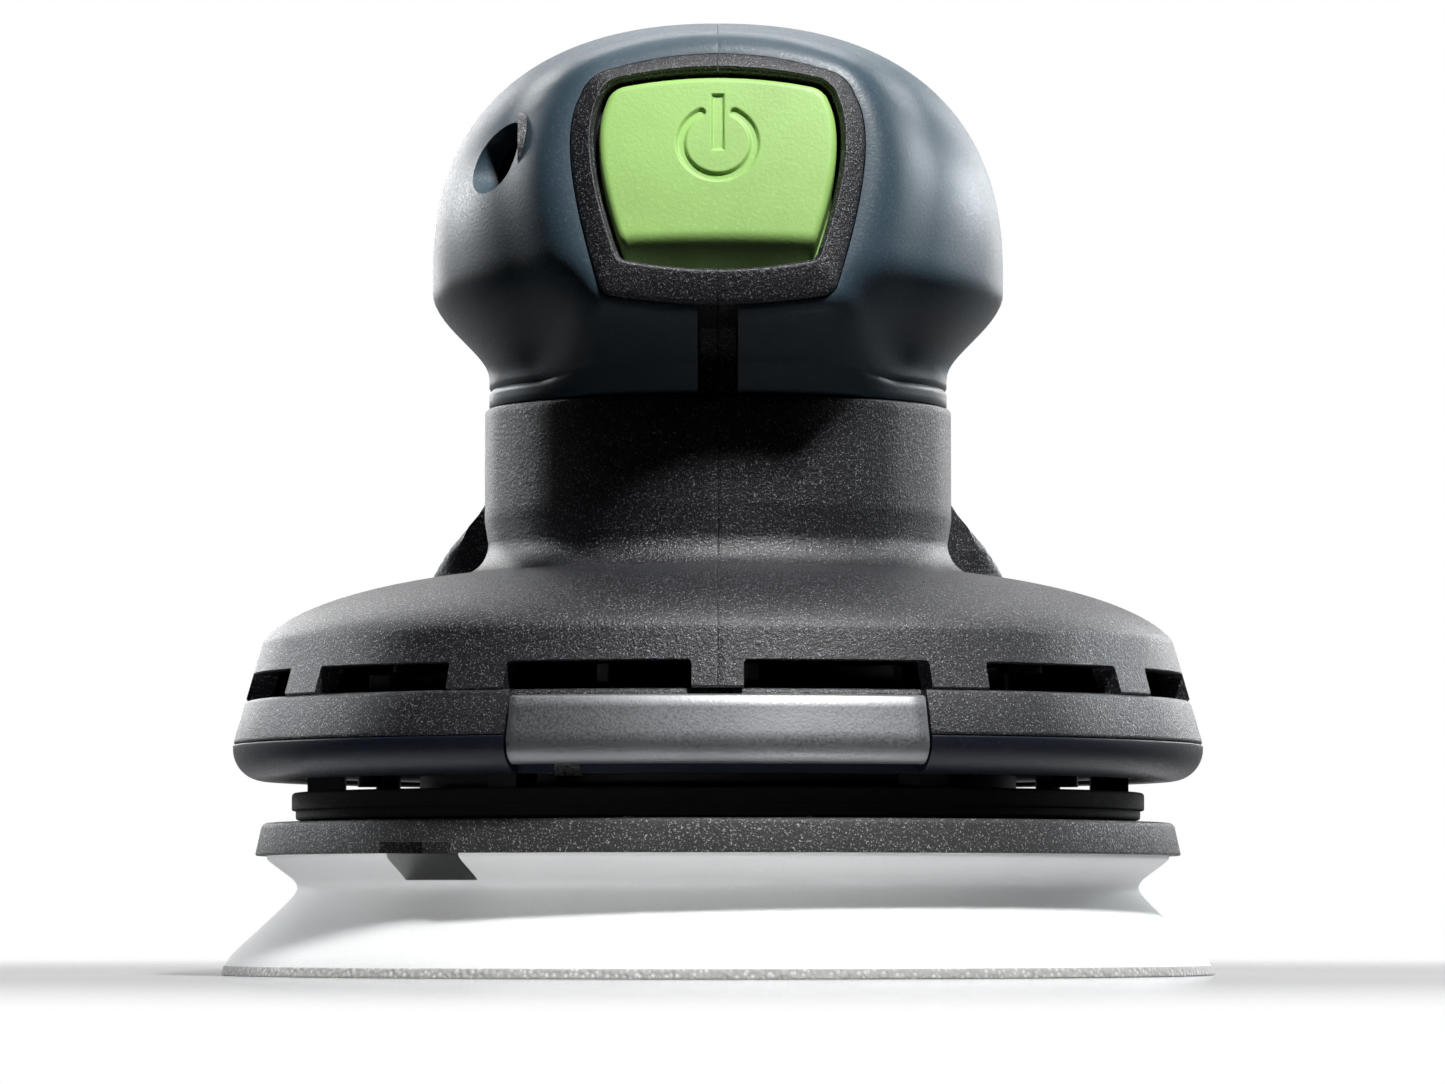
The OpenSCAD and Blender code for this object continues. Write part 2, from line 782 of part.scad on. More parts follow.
module motor_leads() {
  color([0.6, 0.1, 0.1]) for (a = lead_angles)
    translate([lead_r * cos(a), lead_r * sin(a), 0])
      wire([[0, 0, stator_z + stator_h + 3.8], [0, 0, 70], [0, 0.5, 72], [0, 1.2, 74.5], [0, 0.5, 77],
        [0, 0, board_z - 1], [0, 0, board_z]], 1.1);
}

// ================= electronics =================

module control_board() {
  color([0.1, 0.35, 0.18]) translate([-22, -12, board_z]) cube([44, 44, 1.6]);
}

module capacitors() {
  color([0.12, 0.12, 0.3]) for (x = [-8.5, 8.5])
    translate([x, 12.2, board_z + 8.6]) rotate([-90, 0, 0]) cylinder(r = 7, h = 19);
}

module heat_sink() {
  color([0.6, 0.61, 0.63]) translate([-16, -6, board_z + 1.6]) {
    cube([32, 10, 2]);
    for (i = [0:7]) translate([i * 4.3, 0, 2 - eps]) cube([1.6, 10, 13]);
  }
}

module power_transistors() {
  color([0.08, 0.08, 0.08]) for (i = [0:5])
    translate([-17 + 6 * i, -9, board_z - 1.6]) cube([4.5, 5.5, 1.6]);
}

module filter_choke() {
  color([0.7, 0.45, 0.2]) translate([-13, 8.1, board_z + 3.6]) rotate_extrude() translate([2.6, 0])
    circle(r = 1.2, $fn = 24);
}

// ================= switch =================

module symbol_groove(depth) {
  translate([0, 3.7, -depth]) rotate([0, 0, 118]) rotate_extrude(angle = 304) translate([4, 0])
    square([1, depth + 1]);
  translate([-0.7, 2.8, -depth]) cube([1.4, 7.3, depth + 1]);
}

module switch_button() {
  color([0.48, 0.75, 0.3]) at_button() difference() {
    union() {
      translate([0, 0, -6]) linear_extrude(height = 6) button_outline(0);
      translate([0, 0, -6]) linear_extrude(height = 1.1) button_outline(1.4);
      translate([0, -6, -9]) cylinder(r = 2.4, h = 3.5);
    }
    translate([-20, -7.9, 0]) rotate([-42, 0, 0]) translate([0, -20, 0]) cube([40, 20, 20]);
    symbol_groove(0.4);
  }
}

// Coil spring: a round wire swept along a helix
module switch_spring() {
  turns = 4;
  wire_r = 0.35;
  coil_r = 3.4;
  z0 = -10.7 + wire_r;
  z1 = -6 - wire_r;
  levels = [for (i = [0:turns * 12]) let (a = 30 * i, c = z0 + (z1 - z0) * i / (turns * 12))
    [for (j = [0:5]) let (b = 60 * j, r = coil_r + wire_r * cos(b))
      [r * cos(a), r * sin(a), c - wire_r * sin(b)]]];
  color([0.75, 0.75, 0.77]) at_button() translate([0, -6, 0]) stack(levels);
}

module switch_gasket() {
  color([0.05, 0.05, 0.05]) at_button() translate([0, 0, -4.7]) difference() {
    linear_extrude(height = 1.6) button_outline(1.8);
    translate([0, 0, -eps]) linear_extrude(height = 2) button_outline(0.35);
  }
}

module switch_carrier() {
  color([0.15, 0.15, 0.16]) difference() {
    intersection() {
      at_button() translate([-20, -12, -12.5]) cube([40, 12, 3.5]);
      button_prism(1.8, -20, 0);
      full_head(column_top, grip_t + shell_t + 0.3);
    }
    at_button() translate([-12.4, -13, -10.7]) cube([24.8, 14, 3]);
    at_button() translate([0, -6, -20]) cylinder(r = 1.6, h = 20, $fn = 32);
  }
}

module micro_switch() {
  color([0.12, 0.12, 0.13]) at_button() translate([0, -6, 0]) {
    translate([-6.4, -3.2, -18.5]) cube([12.8, 6.4, 6]);
    disc(1.2, -12.5, 2.15);
  }
}

module switch_leads() {
  color([0.1, 0.1, 0.5]) for (x = [-4, 4])
    wire([button_point(x, -6, -18.5), button_point(x, -6, -21), button_point(x, -6.4, -25),
      [x, -10.4, 84.2], [x, -9, board_z + 3], [x, -9, board_z + 1.6]], 0.7);
}

// ================= speed dial =================

module at_dial() { translate([29.5, dial_y, 48.2]) rotate([0, -dial_slope, 0]) children(); }

module dial_slot() { at_dial() translate([0, 0, -2.2]) cylinder(r = dial_r + 0.6, h = 4.4); }

module speed_dial() {
  color([0.1, 0.1, 0.11]) at_dial() {
    difference() {
      translate([0, 0, -dial_t / 2]) cylinder(r = dial_r, h = dial_t);
      around(30) translate([dial_r, 0, -5]) cylinder(r = 0.45, h = 10, $fn = 16);
    }
    translate([0, 0, -dial_t / 2 - 3]) cylinder(r = 1.5, h = 3 + eps);
  }
}

module speed_potentiometer() {
  color([0.2, 0.25, 0.4]) at_dial() difference() {
    translate([-4, -5, -dial_t / 2 - 4.6]) cube([8, 10, 4]);
    translate([0, 0, -20]) cylinder(r = 1.5 + run, h = 30);
  }
}

// ================= power inlet =================

module power_socket() {
  color([0.07, 0.07, 0.08]) translate([0, 44, socket_z]) rotate([-90, 0, 0]) difference() {
    cylinder(r = socket_r, h = socket_y - 44);
    translate([0, 0, 3]) cylinder(r = socket_r - 2, h = 30);
    for (x = [-4.5, 4.5]) translate([x, 0, -1]) cylinder(r = 1.5, h = 10, $fn = 32);
  }
}

module socket_contacts() {
  color([0.8, 0.7, 0.4]) for (x = [-4.5, 4.5])
    translate([x, 42, socket_z]) rotate([-90, 0, 0]) cylinder(r = 1.5, h = 17, $fn = 32);
}

module power_leads() {
  color([0.5, 0.3, 0.1]) for (x = [-4.5, 4.5])
    wire([[x, 42, socket_z], [x, 40, socket_z], [x, 38, socket_z - 0.3], [x * 4, 33, 85],
      [x * 4, 29.5, 84], [x * 4, 29, board_z + 3], [x * 4, 29, board_z + 1.6]], 0.9);
}

// ================= dust path =================

// The duct, off inside its outer surface: a mouth over the volute, then a box that follows the tail
module duct_shape(off) {
  intersection() {
    translate([-duct_hw + off, duct_y + off, 27.2 - off])
      cube([2 * (duct_hw - off), 8 - 2 * off, 20]);
    disc(bumper_in_r - 0.3 - off, 20, 30);
  }
  intersection() {
    translate([-duct_hw + off, duct_y + off, 37.2 + off])
      cube([2 * (duct_hw - off), duct_end - duct_y - 2 * off, 30]);
    tail_solid(wall + 0.3 + off, 24, parting_z);
  }
}

module dust_duct() {
  color([0.12, 0.12, 0.13]) difference() {
    duct_shape(0);
    duct_shape(duct_wall);
    translate([-duct_hw + duct_wall, duct_y - 1, 27.6]) cube([2 * (duct_hw - duct_wall), 5, 5]);
    rotate([-90, 0, 0]) translate([0, -spigot_z, duct_end - 4]) cylinder(r = spigot_bore_r, h = 20);
  }
}

module spigot_seal() {
  color([0.05, 0.05, 0.05]) translate([0, 0, spigot_z]) rotate([-90, 0, 0])
    ring(spigot_r - 0.4, spigot_bore_r, duct_end, 1);
}

module dust_spigot() {
  color([0.14, 0.14, 0.15]) translate([0, 0, spigot_z]) rotate([-90, 0, 0]) difference() {
    union() {
      intersection() {
        disc(spigot_r + 3, duct_end + 1, 2);
        translate([-20, 0.3 - spigot_r, 0]) cube([40, 2 * spigot_r - 0.6, 100]);
      }
      disc(spigot_r - 0.4, duct_end + 1, tail_y - duct_end);
      disc(spigot_r, tail_y, spigot_len);
    }
    disc(spigot_bore_r, duct_end, 60);
  }
}

// ================= fasteners =================

module housing_screws() {
  color([0.3, 0.3, 0.32]) for (p = housing_screw_places)
    translate([-seat_x - screw_head_h, p[0], p[1]]) rotate([0, 90, 0])
      screw(screw_head_r, screw_head_h, screw_r, screw_head_h + seat_x + 12);
}

pad_hook_layer();
pad_foam();
pad_plate();
pad_stud();
pad_spindle();
spindle_circlip();
motor_shaft();
eccentric_hub();
pad_bearing();
counterweight();
counterweight_screws();
fan_impeller();
rotor_core();
rotor_magnets();
housing_left();
housing_right();
grip_left();
grip_right();
base_ring();
bumper_ring();
bumper_clips();
name_plate();
fan_shroud();
shroud_screws();
brake_collar();
bearing_bracket();
bracket_screws();
lower_bearing();
bearing_cap();
upper_bearing();
stator_core();
stator_coils();
hall_board();
motor_leads();
control_board();
capacitors();
heat_sink();
power_transistors();
filter_choke();
switch_button();
switch_spring();
switch_gasket();
switch_carrier();
micro_switch();
switch_leads();
speed_dial();
speed_potentiometer();
power_socket();
socket_contacts();
power_leads();
dust_duct();
dust_spigot();
spigot_seal();
housing_screws();
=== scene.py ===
import math

import bmesh
import bpy
import numpy as np
from mathutils import Matrix, Vector


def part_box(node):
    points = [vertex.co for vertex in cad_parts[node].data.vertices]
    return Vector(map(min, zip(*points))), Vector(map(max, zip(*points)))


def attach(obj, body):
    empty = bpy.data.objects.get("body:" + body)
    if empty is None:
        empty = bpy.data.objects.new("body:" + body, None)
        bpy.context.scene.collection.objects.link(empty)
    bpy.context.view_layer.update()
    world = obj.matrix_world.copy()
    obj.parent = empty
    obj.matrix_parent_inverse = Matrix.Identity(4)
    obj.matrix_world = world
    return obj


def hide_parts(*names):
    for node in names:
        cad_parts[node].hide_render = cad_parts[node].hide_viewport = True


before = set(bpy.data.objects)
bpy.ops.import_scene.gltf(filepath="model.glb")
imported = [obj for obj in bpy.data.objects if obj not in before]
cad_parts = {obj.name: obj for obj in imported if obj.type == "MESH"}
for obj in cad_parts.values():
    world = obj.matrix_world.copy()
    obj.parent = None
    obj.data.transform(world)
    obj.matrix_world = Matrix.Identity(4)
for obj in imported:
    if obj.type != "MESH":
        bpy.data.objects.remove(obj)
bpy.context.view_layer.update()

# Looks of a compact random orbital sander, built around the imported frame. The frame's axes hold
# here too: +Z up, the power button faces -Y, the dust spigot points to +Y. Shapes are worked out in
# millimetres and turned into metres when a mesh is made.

MM = 0.001
SHARP = 38       # edges that turn by more degrees than this are shaded sharp


def box_mm(node):
    low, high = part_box(node)
    return low / MM, high / MM


# ================= sizes, from the frame where it holds them =================

grip_low, grip_high = box_mm("grip_right")
column_top = grip_low.z
head_top = grip_high.z + 0.015
head_w = grip_high.x
parting_z = box_mm("base_ring")[1].z
ring_r = box_mm("base_ring")[1].x
seam_z = box_mm("bumper_ring")[1].z
bumper_z = box_mm("bumper_ring")[0].z
pad_r = box_mm("pad_hook_layer")[1].x
ecc = -(box_mm("pad_stud")[0].y + box_mm("pad_stud")[1].y) / 2
foam_top = box_mm("pad_foam")[1].z
plate_r = box_mm("pad_plate")[1].x
collar_low, collar_high = box_mm("brake_collar")
spigot_low, spigot_high = box_mm("dust_spigot")
socket_low, socket_high = box_mm("power_socket")
spigot_z = (spigot_low.z + spigot_high.z) / 2
spigot_r = (spigot_high.z - spigot_low.z) / 2
socket_z = (socket_low.z + socket_high.z) / 2

column_r = 29.0
grip_t = 2.6
neck_z = 75.0          # where the head starts to widen above the column
dome_z = 88.0          # where the head is widest and its dome starts
head_shift = 4.0       # how far the head's centre lies behind the motor's axis
head_rear = 50.0       # from that centre to the head's back
front_power, rear_power = 2.15, 2.5     # exponents of the head's plan, which is a superellipse
band_r = 59.5          # radius of the housing's lower edge
ridge_r, ridge_z = 57.3, 41.9           # the edge between the vented band and the shoulder
wall = 2.5
slot_h = 3.3
slot_pitch = 30.1
slot_first = 14.2
slot_half = 11.2
plate_half_angle = 24.3
intake_angle = 38.8
tail_w, tail_h, tail_y = 40.5, 34.0, 88.0
button_tilt = 16.0
bezel_g, bezel_drop, bezel_depth = 3.5, 1.1, 12.5    # growth, extra growth below, and depth
strip_w = 4.8
screw_wells = [(-22.7, 100.9), (37.0, 96.0), (37.0, 58.0)]   # (y, z) of the housing screws
well_r, boss_r, screw_r = 4.4, 5.6, 2.15
seat_x = 16.0
hook_t = 1.2
dust_hole_r, dust_circle_r = 5.0, 32.5
jet_r, jet_y = 4.0, 17.0
hub_r = 11.0           # recess in the foam for the middle of the pad plate
dial_slope = 32.7
seam_gap = 0.02


# ================= small maths =================

def ease(a, b, v):
    t = np.clip((np.asarray(v, float) - a) / (b - a), 0, 1)
    return t * t * (3 - 2 * t)


def smooth_max(a, b, k):
    """The larger of a and b, with a fillet of width k where they are close."""
    h = np.maximum(k - np.abs(a - b), 0) / k
    return np.maximum(a, b) + h * h * k / 4


def arc(cx, cy, r, a0, a1, steps=8):
    return [(cx + r * math.cos(math.radians(a)), cy + r * math.sin(math.radians(a)))
            for a in np.linspace(a0, a1, steps + 1)]


def bezier(p0, p1, p2, p3, steps=16):
    t = np.linspace(0, 1, steps + 1)[:, None]
    p0, p1, p2, p3 = (np.array(p, float) for p in (p0, p1, p2, p3))
    return [tuple(p) for p in (1 - t) ** 3 * p0 + 3 * (1 - t) ** 2 * t * p1
            + 3 * (1 - t) * t * t * p2 + t ** 3 * p3]


def rounded(corners, closed=True):
    """The outline through (x, y, radius) corners, each turned into a curve of about that radius."""
    n = len(corners)
    out = []
    for i, (x, y, r) in enumerate(corners):
        here = np.array((x, y), float)
        if r <= 0 or (not closed and i in (0, n - 1)):
            out.append((x, y))
            continue
        before = np.array(corners[i - 1][:2], float) - here
        after = np.array(corners[(i + 1) % n][:2], float) - here
        reach = min(r, 0.49 * np.linalg.norm(before), 0.49 * np.linalg.norm(after))
        a = here + before / np.linalg.norm(before) * reach
        b = here + after / np.linalg.norm(after) * reach
        for t in np.linspace(0, 1, 5):
            p = (1 - t) ** 2 * a + 2 * t * (1 - t) * here + t * t * b
            out.append((p[0], p[1]))
    return out


# ================= making and cutting meshes =================

def piece(name, verts, faces, sharp=SHARP):
    """A mesh object from points in millimetres, closed up, facing outwards and shaded smooth."""
    mesh = bpy.data.meshes.new(name)
    mesh.from_pydata([(x * MM, y * MM, z * MM) for x, y, z in verts], [], [list(f) for f in faces])
    obj = bpy.data.objects.new(name, mesh)
    bpy.context.scene.collection.objects.link(obj)
    clean(obj)
    shade(obj, sharp)
    return obj


def clean(obj, merge=0.002):
    bm = bmesh.new()
    bm.from_mesh(obj.data)
    bmesh.ops.remove_doubles(bm, verts=bm.verts, dist=merge * MM)
    bmesh.ops.dissolve_degenerate(bm, edges=bm.edges, dist=merge * MM * 0.2)
    bmesh.ops.recalc_face_normals(bm, faces=bm.faces)
    bm.to_mesh(obj.data)
    bm.free()


def shade(obj, sharp=SHARP):
    obj.data.shade_smooth()
    obj.data.set_sharp_from_angle(angle=math.radians(sharp))


def grid_faces(rows, cols, wrap_rows=False, wrap_cols=False):
    faces = []
    for i in range(rows if wrap_rows else rows - 1):
        for j in range(cols if wrap_cols else cols - 1):
            k, m = (i + 1) % rows, (j + 1) % cols
            faces.append((i * cols + j, k * cols + j, k * cols + m, i * cols + m))
    return faces


def swept(loops, closed=False):
    """Skins closed loops of equal length one after another. An open row of loops gets end caps."""
    n, m = len(loops), len(loops[0])
    verts = [tuple(p) for loop in loops for p in loop]
    faces = grid_faces(n, m, wrap_rows=closed, wrap_cols=True)
    if not closed:
        faces.append(tuple(range(m))[::-1])
        faces.append(tuple((n - 1) * m + i for i in range(m)))
    return verts, faces


def at_angle(section, degrees):
    """A section of (radius, height) points stood up at an angle round the Z axis."""
    c, s = math.cos(math.radians(degrees)), math.sin(math.radians(degrees))
    return [(r * c, r * s, z) for r, z in section]


def lathe(outline, step=1.5):
    """A closed outline of (radius, height) points turned round the Z axis, step degrees at a time."""
    n = round(360 / step)
    return swept([at_angle(outline, 360 * i / n) for i in range(n)], closed=True)


def prism(outline, z0, z1):
    return swept([[(x, y, z0) for x, y in outline], [(x, y, z1) for x, y in outline]])


def circle(r, n=64):
    return [(r * math.cos(2 * math.pi * i / n), r * math.sin(2 * math.pi * i / n)) for i in range(n)]


def placed(shape, matrix):
    """Moves (verts, faces) by a matrix whose shifts are in millimetres."""
    verts, faces = shape
    return [tuple(matrix @ Vector(v)) for v in verts], faces


def box_shape(low, high):
    (x0, y0, z0), (x1, y1, z1) = low, high
    return prism([(x0, y0), (x1, y0), (x1, y1), (x0, y1)], z0, z1)


def together(*shapes):
    verts, faces = [], []
    for v, f in shapes:
        base = len(verts)
        verts.extend(v)
        faces.extend(tuple(i + base for i in face) for face in f)
    return verts, faces


def combine(obj, shape, operation):
    """Cuts a shape out of obj, or joins it on, and keeps the result as obj's own mesh."""
    tool = piece("tool", *shape)
    modifier = obj.modifiers.new("combine", "BOOLEAN")
    modifier.object = tool
    modifier.operation = operation
    modifier.solver = "MANIFOLD"
    evaluated = obj.evaluated_get(bpy.context.evaluated_depsgraph_get())
    result = bpy.data.meshes.new_from_object(evaluated)
    obj.modifiers.clear()
    obj.data = result
    bpy.data.objects.remove(tool)
    clean(obj, 0.004)
    shade(obj)


def cut(obj, shape):
    combine(obj, shape, "DIFFERENCE")


def mirrored(obj, name):
    """A copy on the other side of the mid plane."""
    twin = bpy.data.objects.new(name, obj.data.copy())
    bpy.context.scene.collection.objects.link(twin)
    twin.data.transform(Matrix.Diagonal((-1, 1, 1, 1)))
    twin.data.flip_normals()
    return twin


def turned(degrees, axis):
    return Matrix.Rotation(math.radians(degrees), 4, axis)


def moved(x, y, z):
    return Matrix.Translation((x, y, z))


# Frames that pieces are built in, the same as in the CAD model
button_frame = moved(0, -36, 98) @ turned(90 - button_tilt, "X")
dial_frame = moved(29.5, 52, 48.2) @ turned(-dial_slope, "Y")
along_y = turned(-90, "X")     # turns the Z axis to +Y


def along_x(y, z, x0, x1, r):
    """A cylinder along X from x0 to x1."""
    return placed(prism(circle(r), x0, x1), moved(0, y, z) @ turned(90, "Y"))


def along_y_at(shape, z, x=0):
    """A shape built along Z, laid along Y at height z."""
    return placed(shape, moved(x, 0, z) @ along_y)


# ================= materials =================

wave_scale = 3.183     # the wave texture repeats every 1 / (3.183 * scale)


def add_node(tree, kind, **values):
    """A new shader node whose inputs are set by name, with _ for a space."""
    node = tree.nodes.new("ShaderNode" + kind)
    for name, value in values.items():
        node.inputs[name.replace("_", " ")].default_value = value
    return node


class Look:
    """A procedural material: patterns in the piece's own coordinates feed one Principled shader."""

    def __init__(self, roughness=0.5, metallic=0.0, specular=0.5):
        self.material = bpy.data.materials.new("look")
        self.material.use_nodes = True
        self.tree = self.material.node_tree
        self.shader = self.tree.nodes["Principled BSDF"]
        self.shader.inputs["Roughness"].default_value = roughness
        self.shader.inputs["Metallic"].default_value = metallic
        self.shader.inputs["Specular IOR Level"].default_value = specular
        self.place = add_node(self.tree, "TexCoord").outputs["Object"]

    def link(self, source, target):
        self.tree.links.new(source, target)

    def noise(self, size_mm, detail=2.0, stretch=(1, 1, 1), roughness=0.5):
        """Cloudy pattern whose spots are about size_mm across, drawn out by stretch."""
        mapping = add_node(self.tree, "Mapping", Scale=[1 / s for s in stretch])
        node = add_node(self.tree, "TexNoise", Scale=1 / (size_mm * MM), Detail=detail,
                        Roughness=roughness)
        self.link(self.place, mapping.inputs["Vector"])
        self.link(mapping.outputs["Vector"], node.inputs["Vector"])
        return node.outputs["Fac"]

    def cells(self, size_mm):
        node = add_node(self.tree, "TexVoronoi", Scale=1 / (size_mm * MM))
        self.link(self.place, node.inputs["Vector"])
        return node.outputs["Distance"]

    def bands(self, pitch_mm, axis, distortion):
        node = add_node(self.tree, "TexWave", Scale=1 / (pitch_mm * MM * wave_scale),
                        Distortion=distortion)
        node.wave_type = "BANDS"
        node.bands_direction = axis
        self.link(self.place, node.inputs["Vector"])
        return node.outputs["Fac"]

    def spread(self, value, low, high, to_low=0.0, to_high=1.0):
        node = add_node(self.tree, "MapRange", From_Min=low, From_Max=high, To_Min=to_low,
                        To_Max=to_high)
        node.interpolation_type = "SMOOTHSTEP"
        self.link(value, node.inputs["Value"])
        return node.outputs["Result"]

    def maths(self, operation, a, b):
        node = add_node(self.tree, "Math")
        node.operation = operation
        for socket, value in zip(node.inputs, (a, b)):
            if isinstance(value, (int, float)):
                socket.default_value = value
            else:
                self.link(value, socket)
        return node.outputs["Value"]

    def mixed(self, factor, a, b):
        """A colour between a and b, which are colours or other mixed colours."""
        node = add_node(self.tree, "Mix")
        node.data_type = "RGBA"
        self.link(factor, node.inputs["Factor"])
        for socket, value in ((node.inputs[6], a), (node.inputs[7], b)):
            if isinstance(value, tuple):
                socket.default_value = (*value, 1)
            else:
                self.link(value, socket)
        return node.outputs[2]

    def colour(self, value):
        self.link(value, self.shader.inputs["Base Color"])

    def rough(self, value, low, high):
        self.link(self.spread(value, 0.3, 0.7, low, high), self.shader.inputs["Roughness"])

    def bump(self, height, depth_mm, onto=None):
        node = add_node(self.tree, "Bump", Strength=1.0, Distance=depth_mm * MM)
        self.link(height, node.inputs["Height"])
        if onto is not None:
            self.link(onto, node.inputs["Normal"])
        self.link(node.outputs["Normal"], self.shader.inputs["Normal"])
        return node.outputs["Normal"]


def shade_of(colour, factor):
    return tuple(min(1.0, c * factor) for c in colour)


def textured_plastic(colour, painted_glint, grain, depth, roughness=(0.42, 0.62), specular=0.5):
    """Moulded plastic with a spark-eroded grain whose tips are painted a lighter colour: painted glints.
    """
    look = Look(specular=specular)
    fine = look.noise(grain, detail=3.0, roughness=0.65)
    painted_glint_mask = look.spread(fine, 0.57, 0.67)
    clouds = look.noise(14.0)
    base = look.mixed(look.spread(clouds, 0.3, 0.7), shade_of(colour, 0.85), shade_of(colour, 1.15))
    # painted glints: the grain's tips get the lighter colour, which stands in for their highlights
    look.colour(look.mixed(painted_glint_mask, base, painted_glint))
    look.rough(fine, roughness[1], roughness[0])
    coarse = look.bump(look.noise(grain * 2.4, detail=1.0), depth * 0.8)
    look.bump(fine, depth, coarse)
    return look.material


def satin_plastic(colour, grain=0.3, depth=0.018, roughness=(0.36, 0.5), painted_glint=1.5, specular=0.5):
    look = Look(specular=specular)
    fine = look.noise(grain, detail=3.0, roughness=0.6)
    clouds = look.noise(18.0, detail=3.0)
    base = look.mixed(look.spread(clouds, 0.35, 0.65), shade_of(colour, 0.92), shade_of(colour, 1.08))
    # painted glints: the finest grain spots get a lighter copy of the colour, which stands in for
    # highlights
    look.colour(look.mixed(look.spread(fine, 0.55, 0.75), base, shade_of(colour, painted_glint)))
    look.rough(fine, *roughness)
    look.bump(fine, depth)
    return look.material


def metal(colour, roughness=(0.2, 0.38), stretch=(1, 1, 1), size=0.6, depth=0.006):
    look = Look(metallic=1.0)
    lines = look.noise(size, detail=4.0, stretch=stretch)
    stains = look.noise(9.0, detail=3.0)
    tone = look.mixed(look.spread(stains, 0.35, 0.7), shade_of(colour, 0.86), shade_of(colour, 1.06))
    look.colour(look.mixed(look.spread(lines, 0.3, 0.7), tone, shade_of(colour, 0.93)))
    look.rough(lines, *roughness)
    look.bump(lines, depth)
    return look.material


def banded(colour, gap_colour, pitch, depth, metallic, roughness):
    """Windings, laminations and other close-set lines."""
    look = Look(metallic=metallic)
    lines = look.bands(pitch, "Z", distortion=0.4)
    look.colour(look.mixed(look.spread(lines, 0.15, 0.55), gap_colour, colour))
    look.rough(look.noise(0.8), *roughness)
    look.bump(lines, depth)
    return look.material


def foam_look(colour):
    """Closed-cell foam with a fine moulded skin."""
    look = Look(specular=0.25)
    pores = look.cells(0.55)
    skin = look.noise(0.35, detail=3.0)
    stains = look.noise(20.0, detail=3.0)
    base = look.mixed(look.spread(stains, 0.35, 0.7), shade_of(colour, 0.96), colour)
    # painted shade: the pits at the pores' centres are coloured 7 % darker
    look.colour(look.mixed(look.spread(pores, 0.0, 0.35), shade_of(colour, 0.93), base))
    look.rough(skin, 0.55, 0.75)
    look.bump(pores, 0.02, look.bump(skin, 0.02))
    return look.material


def hook_look(colour):
    """Hook fabric: rows of fine hooks on a woven ground."""
    look = Look(specular=0.2)
    hooks = look.cells(0.7)
    weave = look.bands(0.9, "X", distortion=0.6)
    look.colour(look.mixed(look.spread(hooks, 0.1, 0.5), colour, shade_of(colour, 0.62)))
    look.rough(look.noise(0.5), 0.7, 0.9)
    look.shader.inputs["Sheen Weight"].default_value = 0.3
    look.bump(hooks, 0.25, look.bump(weave, 0.08))
    return look.material


def board_look(colour):
    """Circuit board: solder mask over faint copper tracks."""
    look = Look(specular=0.6)
    tracks = look.bands(2.6, "X", distortion=2.2)
    look.colour(look.mixed(look.spread(tracks, 0.62, 0.7), colour, shade_of(colour, 1.9)))
    look.rough(look.noise(0.6), 0.28, 0.4)
    look.bump(look.spread(tracks, 0.62, 0.7), 0.03)
    return look.material


# The second colour given to textured_plastic and the glint factor of satin_plastic are painted glints:
# lighter colour that stands in for highlights.
looks = {
    "hook_fabric": hook_look((0.62, 0.62, 0.60)),
    "white_foam": foam_look((0.78, 0.79, 0.79)),
    "pad_plastic": textured_plastic((0.022, 0.022, 0.023), (0.40, 0.40, 0.40), grain=0.24, depth=0.10),
    "steel": metal((0.62, 0.62, 0.64), stretch=(1, 1, 0.08)),
    "dark_steel": metal((0.20, 0.20, 0.215), (0.3, 0.48)),
    "brass": metal((0.62, 0.44, 0.18), (0.24, 0.42)),
    "fan_plastic": satin_plastic((0.022, 0.022, 0.024)),
    "core_steel": banded((0.30, 0.30, 0.32), (0.06, 0.06, 0.07), 0.5, 0.04, 1.0, (0.35, 0.5)),
    "magnet": metal((0.26, 0.26, 0.28), (0.22, 0.36)),
    "copper": banded((0.60, 0.24, 0.09), (0.12, 0.03, 0.01), 0.6, 0.16, 0.9, (0.25, 0.4)),
    "black_shell": textured_plastic((0.0045, 0.0045, 0.0065), (0.34, 0.35, 0.40),
                                    grain=0.2, depth=0.10, roughness=(0.32, 0.5), specular=0.8),
    "blue_grip": satin_plastic((0.044, 0.074, 0.098), grain=0.34, depth=0.03,
                               roughness=(0.36, 0.50), painted_glint=1.7),
    "navy_bumper": satin_plastic((0.0065, 0.0085, 0.017), grain=0.34, depth=0.03,
                                 roughness=(0.36, 0.52), painted_glint=3.0),
    "silver_plate": metal((0.40, 0.41, 0.43), (0.46, 0.60), size=0.3, depth=0.02),
    "black_plastic": satin_plastic((0.010, 0.010, 0.011)),
    "black_rubber": satin_plastic((0.007, 0.007, 0.0075), roughness=(0.55, 0.75), specular=0.3),
    "cast_alloy": metal((0.55, 0.56, 0.57), (0.38, 0.58), size=0.9, depth=0.05),
    "board_green": board_look((0.012, 0.085, 0.032)),
    "capacitor_sleeve": satin_plastic((0.016, 0.018, 0.06), roughness=(0.22, 0.3)),
    "lead_red": satin_plastic((0.33, 0.012, 0.012)),
    "lead_brown": satin_plastic((0.10, 0.045, 0.02)),
    "button_green": satin_plastic((0.36, 0.62, 0.17), grain=0.5, depth=0.03,
                                  roughness=(0.42, 0.55), painted_glint=1.12),
    "potentiometer_blue": satin_plastic((0.03, 0.06, 0.16)),
}
for slot_name, material in looks.items():
    material.name = slot_name + "_look"


def dress(obj, body, slot, *replaced):
    """Gives a piece the material of its slot, puts it under its body and hides the CAD nodes that it
    stands for.
    """
    obj.data.materials.clear()
    obj.data.materials.append(looks[slot])
    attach(obj, body)
    if replaced:
        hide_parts(*replaced)


# ================= the head's surface =================

